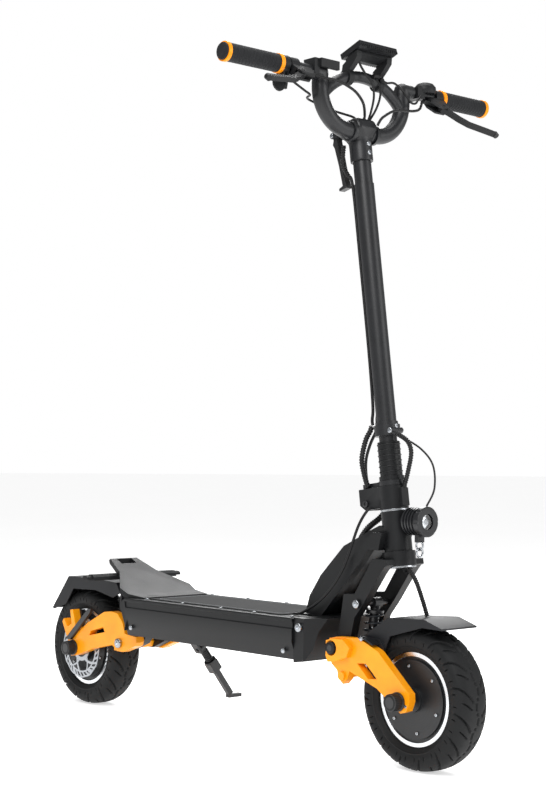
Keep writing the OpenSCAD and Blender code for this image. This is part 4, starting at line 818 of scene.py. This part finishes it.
def yokeParts():
    # |u/depth|^n + |y/width|^n = 1 at each height, with n growing from a circle to a square
    rows = smoothRoute(yokeRows, 6)
    a = np.linspace(0, 2 * np.pi, 96, endpoint=False)
    power = 2 / rows[:, 4:5]
    u = rows[:, 1:2] + rows[:, 2:3] * np.sign(np.cos(a)) * np.abs(np.cos(a)) ** power
    y = rows[:, 3:4] * np.sign(np.sin(a)) * np.abs(np.sin(a)) ** power
    s = yokeStart + rows[:, :1]
    points = np.stack([crown[0] + u * math.cos(rake) - s * math.sin(rake), y,
                       crown[1] + u * math.sin(rake) + s * math.cos(rake)], -1)
    n, m = points.shape[:2]
    centre = np.array([stemPoint(0, 0, yokeStart - 3), stemPoint(-9, 0, yokeStart + 76)])
    k = np.arange(m)
    first = np.stack([np.full(m, n * m), (k + 1) % m, k], 1).tolist()
    last = np.stack([np.full(m, n * m + 1), (n - 1) * m + k, (n - 1) * m + (k + 1) % m], 1).tolist()
    return np.vstack([points.reshape(-1, 3), centre]), gridFaces(n, m, wrapColumns=True).tolist() + first + last


riserFoot = (336.87, 0, 1162.41)
bosses = [turned([(15.6, 0), (19.4, 0), (19.4, 6.4), (18.4, 7.6), (15.6, 7.6), (15.6, 0)],
                 (riserFoot[0], side * 25.4, riserFoot[2]), (0, side, 0), 72) for side in both]
post = [turned([(0, 0), (17, 0), (17, 46), (0, 46)], stemPoint(0, 0, 714), stemAxis, 64)]
lugs = []
for side in both:
    low, high = stemPoint(-44, side * 10.4, yokeStart + 62), stemPoint(-60, side * 10.4, yokeStart + 63)
    centres = np.linspace(low, high, 6)
    along = unit(np.gradient(centres, axis=0))
    lift = np.cross([0, 1.0, 0], along)
    lugs.append(swept(centres, np.broadcast_to([0, 1.0, 0], along.shape), lift,
                      np.array([(-1, -1), (1, -1), (1, 1), (-1, 1)]) * [2.0, 5.4]))
    lugs.append(turned([(0, -1.9), (6, -1.9), (6, 2.1), (0, 2.1)], high, (0, side, 0), 40))
addShape("yokeBlock", [yokeParts()] + bosses + post + lugs, "anodisedBlack", "stem", "stem_black", "stem_yoke")
screwSet("yokeScrews", "stem", [(stemPoint(21.2, 0, yokeStart + h), collarAxis, 4.8, 2.4, 2.3) for h in (10, 27)])
screwSet("hookPinScrews", "stem", [(stemPoint(-60, q * 12.6, yokeStart + 63), (0, q, 0), 4.4, 2.4, 2.0)
                                   for q in both])
print("yoke ready")


# Mat border.

def flatFrame(x0, x1, half, z, width, lift=0.25, cornerR=14):
    # a rounded rectangle drawn as a low band
    a = np.linspace(0, np.pi / 2, 9)
    corners = []
    for cx, cy, start in ((x1 - cornerR, half - cornerR, 0), (x0 + cornerR, half - cornerR, np.pi / 2),
                          (x0 + cornerR, -half + cornerR, np.pi), (x1 - cornerR, -half + cornerR, 1.5 * np.pi)):
        corners.append(np.stack([cx + cornerR * np.cos(start + a), cy + cornerR * np.sin(start + a)], -1))
    loop = np.vstack(corners + [corners[0][:1]])
    centres = np.column_stack([loop, np.full(len(loop), z)])
    along = unit(np.roll(centres, -1, 0) - np.roll(centres, 1, 0))
    along[0] = along[-1] = (0, 1, 0)
    side = np.cross(along, [0, 0, 1.0])
    return swept(centres, side, np.broadcast_to([0, 0, 1.0], side.shape),
                 np.array([(-1, -1), (1, -1), (1, 1), (-1, 1)]) * [width / 2, lift])


addShape("matBorder", [flatFrame(-188, 197, 68, 258.0, 1.6)], "greyInk", "frame", "deck_mat")
print("mat border ready")


# CAD nodes with rounded edges.

roundedNodes = {
    # node: (finish, edge radius in mm)
    "deck_shell": ("satinPowderCoat", 1.0),
    "deck_plate": ("texturedPowderCoat", 0.6),
    "deck_mat": ("matRubber", 0.8),
    "battery_pack": ("shrinkWrap", 3.0),
    "controllers": ("castAluminium", 1.5),
    "neck": ("satinPowderCoat", 1.2),
    "head_bearings": ("groundSteel", 0.3),
    "tail_plate": ("texturedPowderCoat", 1.0),
    "rear_fender": ("mouldedFenderPlastic", 0.7),
    "deck_bolts": ("chromePlate", 0.4),
    "rear_pins": ("chromePlate", 0.8),
    "headlamp": ("anodisedBlack", 0.5),
    "kickstand_mount": ("blackZincSteel", 0.8),
    "kickstand_leg": ("blackZincSteel", 0.8),
    "fork": ("satinPowderCoat", 1.2),
    "steerer": ("groundSteel", 0.4),
    "hinge_block": ("satinPowderCoat", 1.0),
    "fork_pins": ("blackOxideSteel", 1.0),
    "front_shock_body": ("blackOxideSteel", 0.8),
    "front_shock_rod": ("chromePlate", 0.5),
    "rear_shock_body": ("blackOxideSteel", 0.8),
    "rear_shock_rod": ("chromePlate", 0.5),
    "front_arms": ("orangePowderCoat", 2.2),
    "rear_arms": ("orangePowderCoat", 2.2),
    "front_axle": ("blackOxideSteel", 1.2),
    "rear_axle": ("blackOxideSteel", 1.2),
    "front_fender": ("mouldedFenderPlastic", 0.7),
    "front_caliper": ("blackOxideSteel", 1.0),
    "rear_caliper": ("blackOxideSteel", 1.0),
    "front_rim": ("turnedAluminiumFront", 0.4),
    "rear_rim": ("turnedAluminiumRear", 0.4),
    "front_hub": ("turnedBlackCoverFront", 0.8),
    "rear_hub": ("turnedBlackCoverRear", 0.8),
    "stem_tube": ("anodisedBlack", 0.8),
    "handlebar": ("anodisedBlack", 0.5),
    "grip_rings": ("anodisedOrange", 0.7),
    "brake_perches": ("mouldedBlackAbs", 0.7),
    "throttle_pod": ("mouldedBlackAbs", 0.7),
    "switch_pods": ("mouldedBlackAbs", 1.2),
    "display": ("satinBlackAbs", 0.6),
    "display_bracket": ("mouldedBlackAbs", 0.8),
    "lock_sleeve": ("satinPowderCoat", 0.6),
    "fold_hook": ("blackZincSteel", 0.8),
    "brake_lever_right": ("satinPowderCoat", 1.4),
    "brake_lever_left": ("satinPowderCoat", 1.4),
    "throttle_paddle": ("mouldedBlackAbs", 0.8),
    "horn_button": ("glossRedAbs", 0.5),
}
for name, (look, width) in roundedNodes.items():
    softened(name, finish[look], width)
print("rounded nodes ready:", len(roundedNodes))
